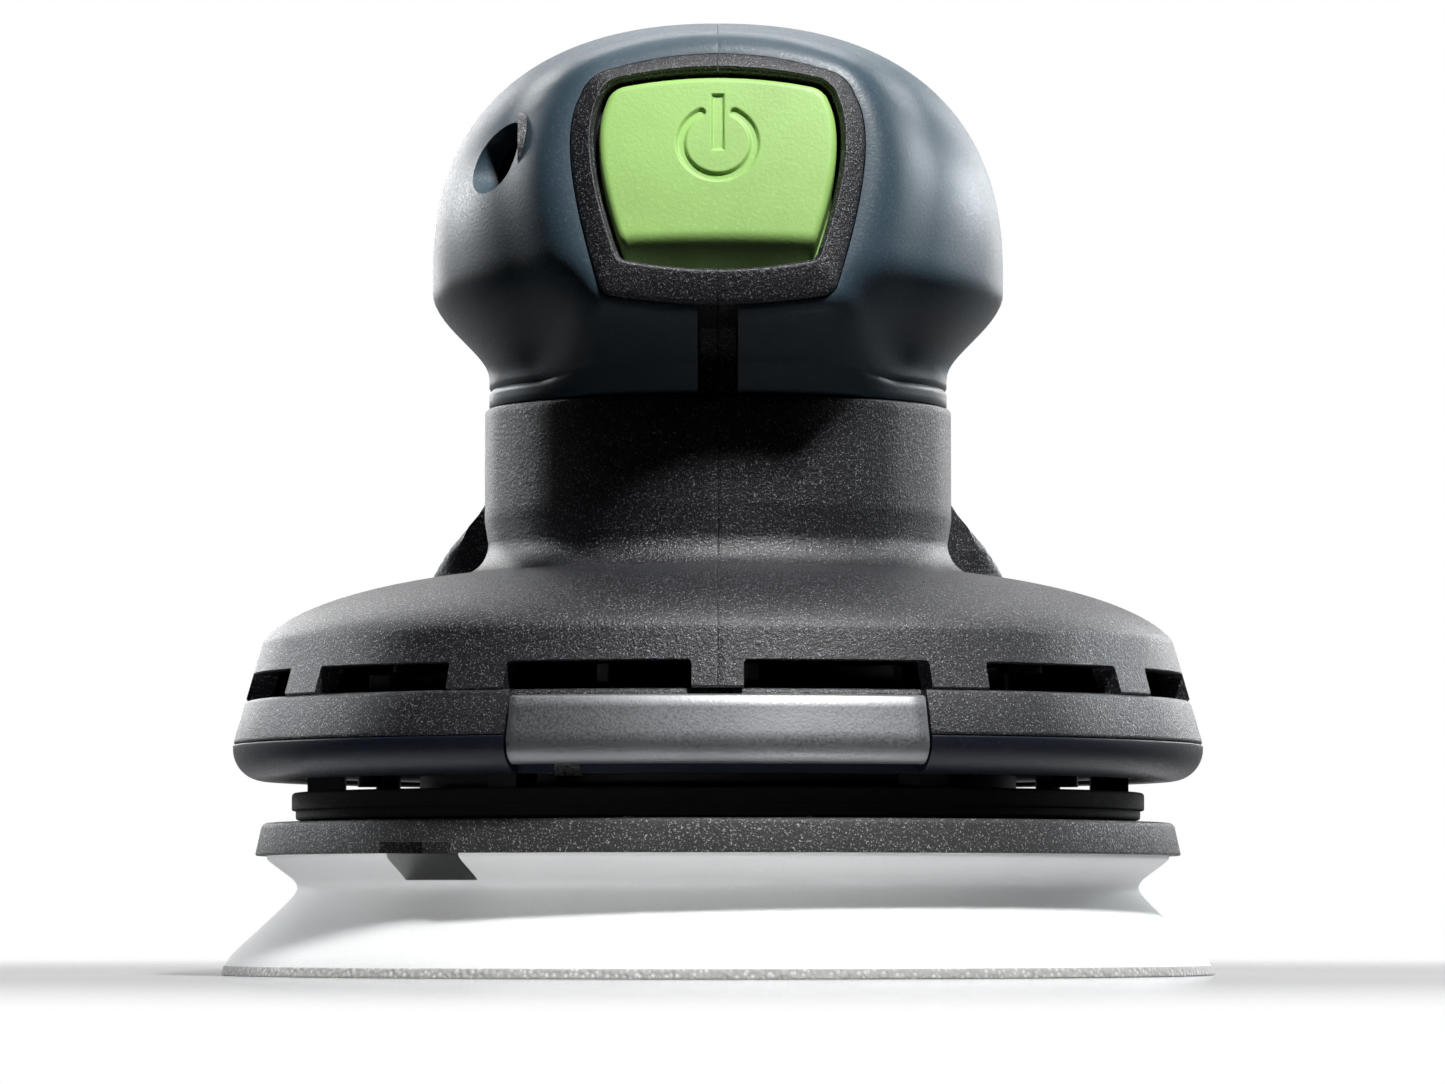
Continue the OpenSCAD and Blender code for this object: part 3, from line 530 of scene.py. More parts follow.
def head_half_w(z, off):
    v = np.clip((z - dome_z) / (head_top - off - dome_z), 0, 1)
    neck = column_r - 0.1
    low = neck + (head_w - neck) * ease(neck_z, 86.2, z) - off
    return np.where(z < dome_z, low, (head_w - off) * (1 - v ** 2.4) ** (1 / 2.4))


def head_reach(z, off, front):
    """How far the head reaches forwards, or backwards, from its centre line at height z."""
    v = np.clip((z - dome_z) / (head_top - off - dome_z), 0, 1)
    low_front = column_r - 0.1 + 14.6 * ease(neck_z, dome_z, z) - off
    high_front = (column_r + 14.5 - off) * (1 - v ** 2.5) ** (1 / 2.5)
    high_rear = (head_rear - off) * (1 - v ** 2) ** 0.5
    return np.where(front, np.where(z < dome_z, low_front, high_front),
                    np.where(z < dome_z, head_rear - off, high_rear))


def head_points(z, a, off):
    """Points of the head's right side at heights z and angles a (-90 front, 90 rear), off inside it."""
    s, c = np.sin(np.radians(a)), np.clip(np.cos(np.radians(a)), 0, 1)
    power = np.where(s < 0, 2 / front_power, 2 / rear_power)
    x = head_half_w(z, off) * c ** power
    y = head_shift * ease(neck_z, dome_z, z)
    y = y + head_reach(z, off, s < 0) * np.sign(s) * np.abs(s) ** power
    return np.stack([x, y, z * np.ones_like(x)], axis=-1)


def button_half(g, steps=12, drop=0.0):
    """Right half of the button's outline grown by g, from bottom to top. Drop lowers its bottom."""
    r_top, r_low = 3.0 + g / 2, 1.2 + g / 4
    low_arc = arc(11.6 + 0.85 * g - r_low, r_low - 11.1 - g - drop, r_low, -75, -15, steps)
    top_arc = arc(13.75 + 0.9 * g - r_top, 11.6 + 0.72 * g - r_top, r_top, 15, 75, steps)

    def through(p0, mid, p2):
        p0, mid, p2 = np.array(p0), np.array(mid), np.array(p2)
        ctrl = 2 * mid - (p0 + p2) / 2
        t = np.linspace(0, 1, 2 * steps + 1)[:, None]
        return [tuple(p) for p in (1 - t) ** 2 * p0 + 2 * t * (1 - t) * ctrl + t * t * p2]

    low_end = low_arc[0]
    bottom = through((-low_end[0], low_end[1]), (0, -12.2 - g - drop), low_end)[steps:]
    side = through(low_arc[-1], (14.35 + g, 1.4), top_arc[0])
    top_end = top_arc[-1]
    top = through(top_end, (0, 12.6 + g), (-top_end[0], top_end[1]))[:steps + 1]
    return bottom[:-1] + low_arc[:-1] + side[:-1] + top_arc[:-1] + top


def button_outline(g, steps=12, drop=0.0):
    half = button_half(g, steps, drop)
    return half + [(-x, y) for x, y in half[-2:0:-1]]


def outline_distance(x, y, outline):
    """Distance of points from a closed outline, negative inside it."""
    a = np.array(outline, float)
    b = np.roll(a, -1, axis=0)
    p = np.stack([x, y], -1)[..., None, :]
    d = b - a
    t = np.clip(((p - a) * d).sum(-1) / (d * d).sum(-1), 0, 1)
    nearest = np.linalg.norm(p - (a + t[..., None] * d), axis=-1).min(-1)
    centre = np.array((0, 1.0))
    turn = np.arctan2(a[:, 1] - centre[1], a[:, 0] - centre[0])
    order = np.argsort(turn)
    reach = np.hypot(*(a - centre).T)
    here = np.interp(np.arctan2(y - centre[1], x - centre[0]), turn[order], reach[order],
                     period=2 * math.pi)
    inside = np.hypot(x - centre[0], y - centre[1]) < here
    return np.where(inside, -nearest, nearest)


flute_width = 9.5      # how far from the bezel the grip starts to rise towards it
flute_level = -1.85    # height of the grip's edge against the bezel's face


def with_flutes(points):
    """Raises the grip round the bezel, so that it runs up to the bezel's rim in a hollow curve."""
    to_button = np.array(button_frame.inverted())
    from_button = np.array(button_frame)
    local = points @ to_button[:3, :3].T + to_button[:3, 3]
    near = (points[..., 1] < 0) & (np.abs(local[..., 0]) < 32) & (np.abs(local[..., 1]) < 30)
    x, y, z = local[near].T
    d = outline_distance(x, y, button_outline(bezel_g, 5, bezel_drop))
    share = (1 - ease(-0.5, flute_width, d)) ** 1.25
    z = z + (flute_level - z) * share
    out = local.copy()
    out[near] = np.stack([x, y, z], -1)
    return out @ from_button[:3, :3].T + from_button[:3, 3]


def grip_half():
    """The right grip: the head's skin, grip_t thick, from the column's top to the crown."""
    low_rows = [column_top + 0.06, column_top + 0.18, column_top + 0.45, 72.2, 72.7, 73.05, 73.3, 73.5,
                73.7, 73.95, 74.4] + list(np.arange(neck_z, dome_z - 0.4, 0.75))
    insets = [0.42, 0.14, 0.0]
    groove_z, groove_w, groove_depth = 73.5, 0.24, 0.32
    seam = 0.16
    dome = np.concatenate([np.arange(0, 84, 1.5), np.arange(84, 90.1, 1.0)])
    seam_front = 90 - math.degrees((seam / head_w) ** (front_power / 2))
    seam_rear = 90 - math.degrees((seam / head_w) ** (rear_power / 2))
    angles = np.concatenate([[-90, -seam_front], np.arange(-88.6, 89, 1.2), [seam_rear, 90]])
    seam_inset = np.zeros(len(angles))
    seam_inset[[0, -1]] = seam

    def skin(off):
        rows = []
        for i, z in enumerate(low_rows):
            groove = groove_depth * math.exp(-((z - groove_z) / groove_w) ** 2)
            extra = (insets[i] if i < len(insets) else 0.0) + groove
            extra = extra if off == 0 else 0.0
            rows.append(head_points(np.full(len(angles), z), angles, off + extra + seam_inset))
        for phi in dome:
            inset = off + seam_inset
            z = dome_z + (head_top - inset - dome_z) * math.sin(math.radians(phi))
            rows.append(head_points(z, angles, inset))
        grid = np.array(rows)
        grid[..., 0] += seam_gap
        return grid

    outer, inner = with_flutes(skin(0.0)), skin(grip_t)
    rows, cols = outer.shape[:2]
    verts = [tuple(p) for p in outer.reshape(-1, 3)] + [tuple(p) for p in inner.reshape(-1, 3)]
    count = rows * cols
    faces = grid_faces(rows, cols)
    faces += [tuple(i + count for i in f[::-1]) for f in grid_faces(rows, cols)]
    for i in range(rows - 1):
        for j in (0, cols - 1):
            a, b = i * cols + j, (i + 1) * cols + j
            faces.append((a, b, b + count, a + count))
    for j in range(cols - 1):
        for i in (0, rows - 1):
            a, b = i * cols + j, i * cols + j + 1
            faces.append((a, b, b + count, a + count))
    return verts, faces


def make_grips():
    right = piece("grip_skin_right", *grip_half())
    opening = placed(prism(button_outline(bezel_g + 0.1, drop=bezel_drop), -20, 12), button_frame)
    cut(right, opening)
    strip = strip_w / 2 + 0.05
    cut(right, box_shape((-strip, -60, column_top - 2), (strip, -20, 86)))
    cut(right, along_y_at(prism(circle(socket_high.x + 0.15, 96), 30, 80), socket_z))
    left = mirrored(right, "grip_skin_left")
    for y, z in screw_wells[:2]:
        cut(left, along_x(y, z, -60, -10, well_r))
    shade(left)
    dress(right, "housing", "blue_grip", "grip_right")
    dress(left, "housing", "blue_grip", "grip_left")


# ================= bezel, strip and button =================

def bezel_half():
    """Right half of the frame round the button, swept along the outline."""
    depth = 0.4 - bezel_depth
    section = rounded([(bezel_g, depth, 0), (bezel_g, -1.5, 0.5), (1.15, 0.0, 0.3), (0.95, -0.4, 0.15),
                       (0.62, -0.6, 0.25), (0.42, -3.0, 0), (1.9, -3.0, 0), (1.9, depth, 0)])
    halves = []
    for g, _ in section:
        lip = ease(0.42, 0.9, g) * ease(1.9, 0.9, g)
        halves.append(button_half(g, drop=bezel_drop * ease(0.9, bezel_g, g) - 0.35 * lip))
    loops = [[(half[i][0], half[i][1], h) for half, (_, h) in zip(halves, section)]
             for i in range(len(halves[0]))]
    gap = seam_gap + 0.03
    loops[0] = [(gap, y, z) for _, y, z in loops[0]]
    loops[-1] = [(gap, y, z) for _, y, z in loops[-1]]
    return placed(swept(loops), button_frame)


def strip_half():
    """Right half of the strip that runs from the bezel down to the column, a hair below the grips."""
    loops = []
    for z in np.linspace(column_top + 0.02, 85.5, 40):
        x = np.array([seam_gap, 0.2, strip_w / 2 - 0.15, strip_w / 2])
        sunk = np.array([0.3, 0.18, 0.18, 0.35])
        y = head_shift * ease(neck_z, dome_z, z) - head_reach(np.full(4, z), sunk, True)
        w = head_half_w(np.full(4, z), sunk)
        y = y * (1 - (x / w) ** front_power) ** (1 / front_power)
        surface = [(a, b, z) for a, b in zip(x, y)]
        loops.append(surface + [(strip_w / 2, y[3] + 2.2, z), (seam_gap, y[3] + 2.2, z)])
    return swept(loops)


def make_bezel():
    right = piece("button_bezel_right", *together(bezel_half(), strip_half()))
    left = mirrored(right, "button_bezel_left")
    dress(right, "housing", "black_shell")
    dress(left, "housing", "black_shell")
    wells = []
    for y, z in screw_wells[:2]:
        end, reach = (16.4, 24.6) if y < 0 else (14.5, 29.0)
        seat, inner_r = end + 1.5, well_r - 0.02
        tube = [(inner_r, seat), (inner_r, reach), (boss_r, reach), (boss_r, end), (screw_r, end),
                (screw_r, seat)]
        wells.append(placed(lathe(tube, step=6), moved(0, y, z) @ turned(-90, "Y")))
    dress(piece("screw_wells", *together(*wells)), "housing", "black_shell")


def symbol_distance(x, y):
    """Signed distance from the outline of the on/off sign, whose ring is centred on the origin."""
    angle = np.degrees(np.arctan2(x, y))
    half_gap, sign_r, half_stroke = 27.0, 4.5, 0.5
    ring = np.abs(np.hypot(x, y) - sign_r) - half_stroke
    ex, ey = sign_r * math.sin(math.radians(half_gap)), sign_r * math.cos(math.radians(half_gap))
    ends = np.hypot(np.abs(x) - ex, y - ey) - half_stroke
    ring = np.where(np.abs(angle) < half_gap, ends, ring)
    bar_y = np.clip(y, -0.4, 5.9)
    bar = np.maximum(np.abs(x) - 0.7, np.abs(y - bar_y) - half_stroke)
    return np.minimum(ring, bar)


def make_button():
    """The power button: a low crown, soft edges, a chamfer below and a sunk on/off sign."""
    centre = np.array((0.0, 3.7))
    outline = np.array(button_outline(0.0, 16))
    turn = np.unwrap(np.arctan2(*(outline - centre).T[::-1]))
    n = 288
    angles = np.linspace(turn[0], turn[0] + 2 * math.pi, n, endpoint=False)
    closed_turn = np.append(turn, turn[0] + 2 * math.pi)
    closed_x = np.append(outline[:, 0], outline[0, 0])
    closed_y = np.append(outline[:, 1], outline[0, 1])
    rim = np.stack([np.interp(angles, closed_turn, closed) for closed in (closed_x, closed_y)], -1)
    rays = np.stack([np.cos(angles), np.sin(angles)], -1)
    inner_r = 6.6
    loops = [centre + radius * rays for radius in np.arange(0.15, inner_r, 0.14)]
    start = centre + inner_r * rays
    shares = np.concatenate([np.linspace(0, 0.9, 26), np.linspace(0.91, 1.0, 14)])
    loops += [start + (rim - start) * s for s in shares]
    crown, edge_r, sign_depth = 0.40, 0.9, 0.42
    chamfer_y, chamfer_slope = -8.3, math.tan(math.radians(46))
    skirt_z = -6.0
    verts = []
    for loop in loops:
        x, y = loop.T
        inset = -outline_distance(x, y, [tuple(p) for p in rim])
        z = -crown * ((x / 14.6) ** 2 + (y / 12.5) ** 2) - 0.05
        chamfer = (y - chamfer_y) * chamfer_slope
        z = -smooth_max(-z, -np.where(y < -4, chamfer, 5.0), 0.7)
        edge = np.clip(inset, 0, edge_r)
        z = z - (edge_r - np.sqrt(np.maximum(edge_r ** 2 - (edge_r - edge) ** 2, 0)))
        z = z - sign_depth * (1 - ease(-0.13, 0.13, symbol_distance(x, y - centre[1])))
        verts.append(np.stack([x, y, z], -1))
    low = verts[-1].copy()
    low[:, 2] = skirt_z
    verts.append(low)
    rows, cols = len(verts), n
    points = [tuple(p) for loop in verts for p in loop]
    faces = grid_faces(rows, cols, wrap_cols=True)
    faces.append(tuple(range(cols)))
    faces.append(tuple((rows - 1) * cols + i for i in range(cols))[::-1])
    flange = prism(button_outline(1.3), skirt_z, -4.95)
    stem = placed(prism(circle(2.4, 40), -9.0, -5.5), moved(0, -6, 0))
    shape = together((points, faces), flange, stem)
    button = piece("power_button", *placed(shape, button_frame), sharp=60)
    dress(button, "button", "button_green", "switch_button")


# ================= lower housing =================

def tail_reach(a, z):
    """How far the tail reaches from the motor's axis at angle a (0 right, 90 rear) and height z."""
    radii = np.linspace(20, 110, 361)
    r = radii[None, :]
    x, y = np.abs(r * np.cos(np.radians(a))[:, None]), r * np.sin(np.radians(a))[:, None]
    up = np.clip((z - parting_z) / tail_h, 0, 1)
    arch = tail_w * (1 - up ** 2.2) ** (1 / 2.2)
    front = column_r + (tail_w - column_r) * np.sqrt(np.clip(1 - ((30 - y) / 22) ** 2, 0, 1))
    rear = 21 + (tail_w - 21) * np.sqrt(np.clip(1 - ((y - 48) / (tail_y - 48)) ** 2, 0, 1))
    plan = np.where(y < 8, 0, np.where(y < 30, front, np.where(y < 48, tail_w, rear)))
    low_round = tail_y - 8 + math.sqrt(max(0, 64 - max(0, parting_z + 8 - z) ** 2))
    top_round = tail_y - 12 + math.sqrt(max(0, 144 - max(0, z - parting_z - tail_h + 12) ** 2))
    end = min(low_round, top_round)
    slack = np.minimum(np.minimum(arch, plan) - x, end - y)
    if z >= parting_z + tail_h:
        return np.zeros(len(a))
    inside = slack > 0
    last = inside.shape[1] - 1 - np.argmax(inside[:, ::-1], axis=1)
    found = inside.any(axis=1)
    row = np.arange(len(a))
    after = np.minimum(last + 1, inside.shape[1] - 1)
    s0, s1 = slack[row, last], slack[row, after]
    share = np.where(s0 - s1 > 1e-9, s0 / np.maximum(s0 - s1, 1e-9), 0)
    return np.where(found, radii[last] + (radii[1] - radii[0]) * np.clip(share, 0, 1), 0)


def neck_reach(a, z):
    """Reach of the head's base section, which the column widens into at the rear."""
    if z < 56:
        return np.zeros(len(a))
    s, c = np.sin(np.radians(a)), np.abs(np.cos(np.radians(a)))
    n = np.where(s < 0, front_power, rear_power)
    w = column_r - 0.1
    rear = np.where(s < 0, w, head_rear)
    flare = 3.0 * np.clip(1 - (z - 68.0) / 3.0, 0, 1) ** 2 * ease(25, 60, a)
    return 1 / ((c / w) ** n + (np.abs(s) / rear) ** n) ** (1 / n) + flare


def slot_columns():
    """(angle, lift) pairs along the right half: the lower edge is lifted by slot_h over each slot."""
    corner = 0.55
    corner_angle = math.degrees(corner / band_r)
    columns = []
    edges = []
    for k in range(3):
        middle = -90 + slot_first + slot_pitch * k
        edges.append((middle - slot_half, middle + slot_half))
    for a in np.arange(-89, 90, 1.0):
        if all(a < lo - 0.4 or a > hi + 0.4 for lo, hi in edges):
            columns.append((a, 0.0))
        elif any(lo + corner_angle + 0.2 < a < hi - corner_angle - 0.2 for lo, hi in edges):
            columns.append((a, slot_h))
    for lo, hi in edges:
        for side, end in ((1, lo), (-1, hi)):
            columns.append((end - side * 0.05, 0.0))
            for phi in np.linspace(0, 90, 5):
                turn = corner_angle * (1 - math.cos(math.radians(phi)))
                lift = slot_h - corner + corner * math.sin(math.radians(phi))
                columns.append((end + side * turn, lift))
    columns += [(-90, 0.0), (-89.8, 0.0), (89.8, 0.0), (90, 0.0)]
    return sorted(columns)


def housing_profile():
    """The front's outline: band, ridge, shoulder, fillet and column, as (radius, height) points."""
    shoulder = bezier((ridge_r, ridge_z), (54.2, 45.6), (45.5, 48.6), (33.2, 50.15), 26)
    fillet = arc(33.1, 54.25, 4.1, 266, 180, 10)
    band = [(band_r + (ridge_r - band_r) * t, parting_z + (ridge_z - parting_z) * t)
            for t in (0, 0.04, 0.13, 0.28, 0.43, 0.58, 0.72, 0.85)]
    ridge = rounded([(*band[-1], 0), (ridge_r, ridge_z, 0.9), (*shoulder[2], 0)], closed=False)
    column = [(column_r, z) for z in (57, 58.5, 60, 61.5, 63, 64.2, 65.2, 66, 66.7, 67.3, 67.7, 68.0,
                                      68.2, 68.29, 68.32, 68.6, 69.2, 70.0, column_top - 0.35,
                                      column_top - 0.12, column_top - 0.02)]
    return band[:-1] + ridge[:-1] + shoulder[2:] + fillet + column


def housing_half():
    columns = slot_columns()
    angles = np.array([a for a, _ in columns])
    lifts = np.array([lift for _, lift in columns])
    seam_inset = np.where(np.abs(angles) > 89.9, 0.05, 0.0)
    profile = housing_profile()
    radii = np.array([r for r, _ in profile])
    heights = np.array([z for _, z in profile])
    drop = wall * ease(38, 50, heights) * (1 - ease(52, 58, heights))
    reach = []
    for r, z in zip(radii, heights):
        r_all = smooth_max(np.full(len(angles), r), tail_reach(angles, z), 5.0)
        reach.append(smooth_max(r_all, neck_reach(angles, z), 2.0))
    reach = np.array(reach)
    lift_end = 41.0
    share = np.clip((lift_end - heights) / (lift_end - parting_z), 0, 1)
    z_all = heights[:, None] + share[:, None] * lifts[None, :]
    band = heights < 50
    for j in range(len(angles)):
        reach[band, j] = np.interp(z_all[band, j], heights[band], reach[band, j])
    reach -= seam_inset
    reach[0] -= 0.3
    reach[-1] -= 0.32
    reach[-2] -= 0.12
    inner_r = reach - wall
    floor = parting_z + lifts + wall
    inner_z = z_all - drop[:, None]
    for j in range(len(angles)):
        below = np.nonzero(inner_z[:, j] <= floor[j] + 0.1)[0]
        last = below[-1] if len(below) else 0
        inner_r[:last + 1, j] = inner_r[last, j]
        inner_z[:last + 1, j] = floor[j]
    loops = []
    for j, a in enumerate(angles):
        bottom_r = min(57.0, inner_r[0, j])
        loop = [(bottom_r, z_all[0, j])]
        loop += [(reach[i, j], z_all[i, j]) for i in range(len(radii))]
        loop += [(inner_r[i, j], inner_z[i, j]) for i in range(len(radii) - 1, -1, -1)]
        loop += [(bottom_r, floor[j])]
        loops.append([(x + seam_gap, y, z) for x, y, z in at_angle(loop, a)])
    return swept(loops)


def make_housing():
    right = piece("housing_shell_right", *housing_half())
    cut(right, along_y_at(prism(circle(spigot_r - 0.25, 96), 60, 120), spigot_z))
    left = mirrored(right, "housing_shell_left")
    cut(right, placed(prism(circle(9.6, 96), -2.2, 2.2), dial_frame))
    y, z = screw_wells[2]
    combine(left, along_x(y, z, -29.6, -14.5, boss_r), "UNION")
    cut(left, along_x(y, z, -60, -seat_x, well_r))
    shade(left)
    dress(right, "housing", "black_shell", "housing_right")
    dress(left, "housing", "black_shell", "housing_left")


# ================= base ring, bumper and name plate =================

def notched_ring(outline, depth):
    """A lathe outline whose outer side steps in by depth behind the name plate."""
    half_angle = plate_half_angle + 0.25
    angles = np.arange(-180, 180, 1.25)
    columns = [(a, 0.0) for a in angles if abs(a + 90) > half_angle + 0.3]
    columns += [(a, 1.0) for a in angles if abs(a + 90) < half_angle - 0.3]
    for side in (-1, 1):
        columns += [(-90 + side * (half_angle + 0.04), 0.0), (-90 + side * half_angle, 1.0)]
    loops = []
    for a, notch in sorted(columns):
        loops.append(at_angle([(r - notch * d, z) for (r, z), d in zip(outline, depth)], a))
    return swept(loops, closed=True)


def make_base():
    volute_in, volute_out = 47.2, 49.5
    ring = rounded([(volute_in, 26.9, 0), (volute_out, 26.9, 0), (volute_out, seam_z + 0.05, 0),
                    (ring_r, seam_z + 0.05, 0.5), (band_r, parting_z, 0.55),
                    (band_r - wall, parting_z, 0), (ring_r - 5, seam_z + 2, 0),
                    (volute_out, seam_z + 2, 0), (volute_out, parting_z, 0), (45.8, parting_z, 0),
                    (45.8, parting_z - 1.2, 0), (volute_in, parting_z - 1.2, 0)])
    depth = [1.45 * float(r > 58.2) for r, _ in ring]
    dress(piece("base_ring_body", *notched_ring(ring, depth)), "housing", "black_shell", "base_ring")

    bumper_in = 54.7
    top = seam_z - 0.02
    bumper = arc(bumper_in + 0.4, bumper_z + 0.4, 0.4, 180, 270, 4)
    bumper += arc(ring_r - 4, bumper_z + 4, 4, -90, 0, 12)
    bumper += rounded([(ring_r, bumper_z + 4.05, 0), (ring_r, top, 0.3), (bumper_in, top, 0)],
                      closed=False)
    curl_r, curl_z = 57.3, 26.2        # room for the name plate's lower edge
    depth = [max(0.0, r - curl_r) if z < curl_z else (1.3 if r > 58.5 else 0.0) for r, z in bumper]
    dress(piece("bumper_body", *notched_ring(bumper, depth)), "housing", "navy_bumper", "bumper_ring")


def make_name_plate():
    """The blank metal plate: a shallow tray whose lower edge curls under, with eased edges all round."""
    front = [(60.1, 33.45), (60.42, 32.0), (60.75, 30.5), (61.08, 29.2), (61.24, 28.4), (61.25, 27.6),
             (61.08, 26.8), (60.72, 26.15), (60.2, 25.65), (59.55, 25.35)]
    back = [(min(r - 0.95, front[0][0]), z + 0.12) for r, z in front[::-1]]
    loops = []
    inset_at = {0: 0.42, 1: 0.16, 2: 0.0}
    angles = np.concatenate([[0, 0.06, 0.22], np.arange(1, 2 * plate_half_angle - 1, 1.2),
                             2 * plate_half_angle - np.array([0.22, 0.06, 0])])
    for i, a in enumerate(angles):
        edge = inset_at.get(min(i, len(angles) - 1 - i), 0.0)
        outline = [(r - edge, z) for r, z in front]
        outline[0] = (outline[0][0] - 0.3, outline[0][1])
        outline.insert(1, (front[0][0] + 0.03 - edge, front[0][1] - 0.22))
        loops.append(at_angle(outline + back, -90 - plate_half_angle + a))
    dress(piece("name_plate_face", *swept(loops), sharp=50), "housing", "silver_plate", "name_plate")


def make_brake_collar():
    z0, z1 = collar_low.z, collar_high.z
    r_in, r = 46.4, collar_high.x
    lip_z = z0 + 1.2
    outline = rounded([(r_in, lip_z, 0), (47.6, z0, 0.4), (r - 0.5, z0, 0.45), (r - 0.5, lip_z, 0.1),
                       (r, lip_z, 0.25), (r, z1, 0.5), (r_in, z1, 0.2)])
    dress(piece("brake_collar_body", *lathe(outline)), "housing", "black_rubber", "brake_collar")


# ================= pad =================

def dust_holes(z0, z1):
    angles = [math.radians(-90 + 22.5 + 45 * i) for i in range(8)]
    return [placed(prism(circle(dust_hole_r, 48), z0, z1),
                   moved(dust_circle_r * math.cos(a), dust_circle_r * math.sin(a), 0)) for a in angles]


def jet_holes(z0, z1):
    return [placed(prism(circle(jet_r, 40), z0, z1), moved(0, y, 0)) for y in (-jet_y, jet_y)]


def intakes(z0, z1, r_in):
    """Two slots that run out to the rim, in front and behind."""
    half_w, out = 5.7, 80
    return [box_shape((-half_w, -out, z0), (half_w, -r_in, z1)),
            box_shape((-half_w, r_in, z0), (half_w, out, z1))]


def in_pad_frame(obj):
    obj.data.transform(moved(0, -ecc * MM, 0) @ turned(-intake_angle, "Z"))
    return obj


def make_pad():
    hook = rounded([(0, 0.0, 0), (pad_r - 0.1, 0.0, 0.3), (pad_r - 0.4, hook_t, 0.25), (0, hook_t, 0)])
    hook = piece("hook_layer_disc", *lathe(hook, step=1.2))
    for hole in dust_holes(-1, 2) + jet_holes(-1, 2):
        cut(hook, hole)
    dress(in_pad_frame(hook), "pad", "hook_fabric", "pad_hook_layer")

    skirt = bezier((61.9, hook_t), (61.4, 2.3), (60.4, 3.2), (59.4, 4.1), 8)
    skirt += bezier((59.4, 4.1), (57.2, 6.1), (55.2, 7.9), (53.9, 9.3), 8)[1:]
    waist = bezier((53.9, 9.3), (52.6, 10.6), (52.6, 11.1), (53.5, 12.0), 10)[1:]
    neck = bezier((53.5, 12.0), (54.4, 12.75), (55.6, 13.5), (56.5, 14.3), 6)[1:]
    outline = [(0, hook_t)] + skirt + waist + neck + [(56.7, 14.6), (56.7, foam_top), (0, foam_top)]
    foam = piece("foam_body", *lathe(outline, step=1.0))
    for hole in dust_holes(0, 20) + jet_holes(0, 20) + intakes(11.7, 20, 13):
        cut(foam, hole)
    cut(foam, prism(circle(hub_r), 13, 20))
    dress(in_pad_frame(foam), "pad", "white_foam", "pad_foam")

    top = 19.0
    outline = rounded([(0, foam_top, 0), (plate_r, foam_top, 0.3), (plate_r - 0.9, top, 0.7),
                       (0, top, 0)])
    plate = piece("pad_plate_body", *lathe(outline, step=1.0))
    middle = [prism(circle(4, 40), 10, 30), prism(circle(hub_r), 10, 16)]
    for hole in dust_holes(10, 30) + intakes(10, 16.3, 50) + middle:
        cut(plate, hole)
    dress(in_pad_frame(plate), "pad", "pad_plastic", "pad_plate")


# ================= dial, dust spigot and power inlet =================

def make_dial():
    """The thumb wheel: thirty scallops round a flat disc with eased edges."""
    loops = []
    dial_r, half_t = 9.0, 1.8
    section = rounded([(2.0, -half_t, 0), (dial_r, -half_t, 0.45), (dial_r, half_t, 0.45),
                       (2.0, half_t, 0)])
    for i in range(360):
        scallop = 0.42 * max(0.0, math.cos(math.radians(30 * i))) ** 0.6
        loops.append(at_angle([(r - scallop * float(r > 8), z) for r, z in section], i))
    hub = prism(circle(2.05, 48), -half_t, half_t)
    stem = prism(circle(1.5, 32), -half_t - 3, -half_t + 0.1)
    dial = piece("dial_wheel", *placed(together(swept(loops, closed=True), hub, stem), dial_frame))
    dress(dial, "dial", "black_plastic", "speed_dial")


def make_spigot():
    """The tube behind the tail, with a slimmer neck and a flange inside it."""
    start, end = spigot_low.y, spigot_high.y
    bore, neck, flange_r, flat = 12.2, spigot_r - 0.4, spigot_high.x, spigot_r - 0.3
    outline = rounded([(bore, start, 0.2), (neck, start, 0), (neck, tail_y, 0.05),
                       (spigot_r, tail_y, 0.1), (spigot_r, end, 0.9), (bore, end, 0.7)])
    flange = [(x, min(max(y, -flat), flat)) for x, y in circle(flange_r, 96)]
    spigot = piece("spigot_tube", *along_y_at(lathe(outline, step=2.5), spigot_z))
    combine(spigot, along_y_at(prism(flange, start, start + 2), spigot_z), "UNION")
    cut(spigot, along_y_at(prism(circle(bore, 96), start - 1, start + 5), spigot_z))
    dress(spigot, "housing", "black_plastic", "dust_spigot")


def make_socket():
    """The round power inlet: a cup with two holes for its contacts."""
    r, contact_r, contact_x = socket_high.x, 1.5, 4.5
    start, end = socket_low.y, socket_high.y
    outline = rounded([(0, start, 0), (r, start, 0), (r, end, 0.8), (r - 1.6, end, 0.5),
                       (r - 2, end - 1.2, 0.2), (r - 2, start + 3, 0.4), (0, start + 3, 0)])
    socket = piece("inlet_socket", *along_y_at(lathe(outline, step=2.5), socket_z))
    for x in (-contact_x, contact_x):
        cut(socket, along_y_at(prism(circle(contact_r, 32), start - 1, start + 5), socket_z, x))
    dress(socket, "housing", "black_plastic", "power_socket")


# ================= the CAD nodes that stay =================

def dress_cad_nodes():
    """Every CAD node that still shows gets the procedural material of its own slot."""
    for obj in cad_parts.values():
        if obj.hide_render:
            continue
        for holder in obj.material_slots:
            holder.material = looks[holder.material.name.split(".")[0]]
        shade(obj, 30)


# ================= floor, light and camera =================

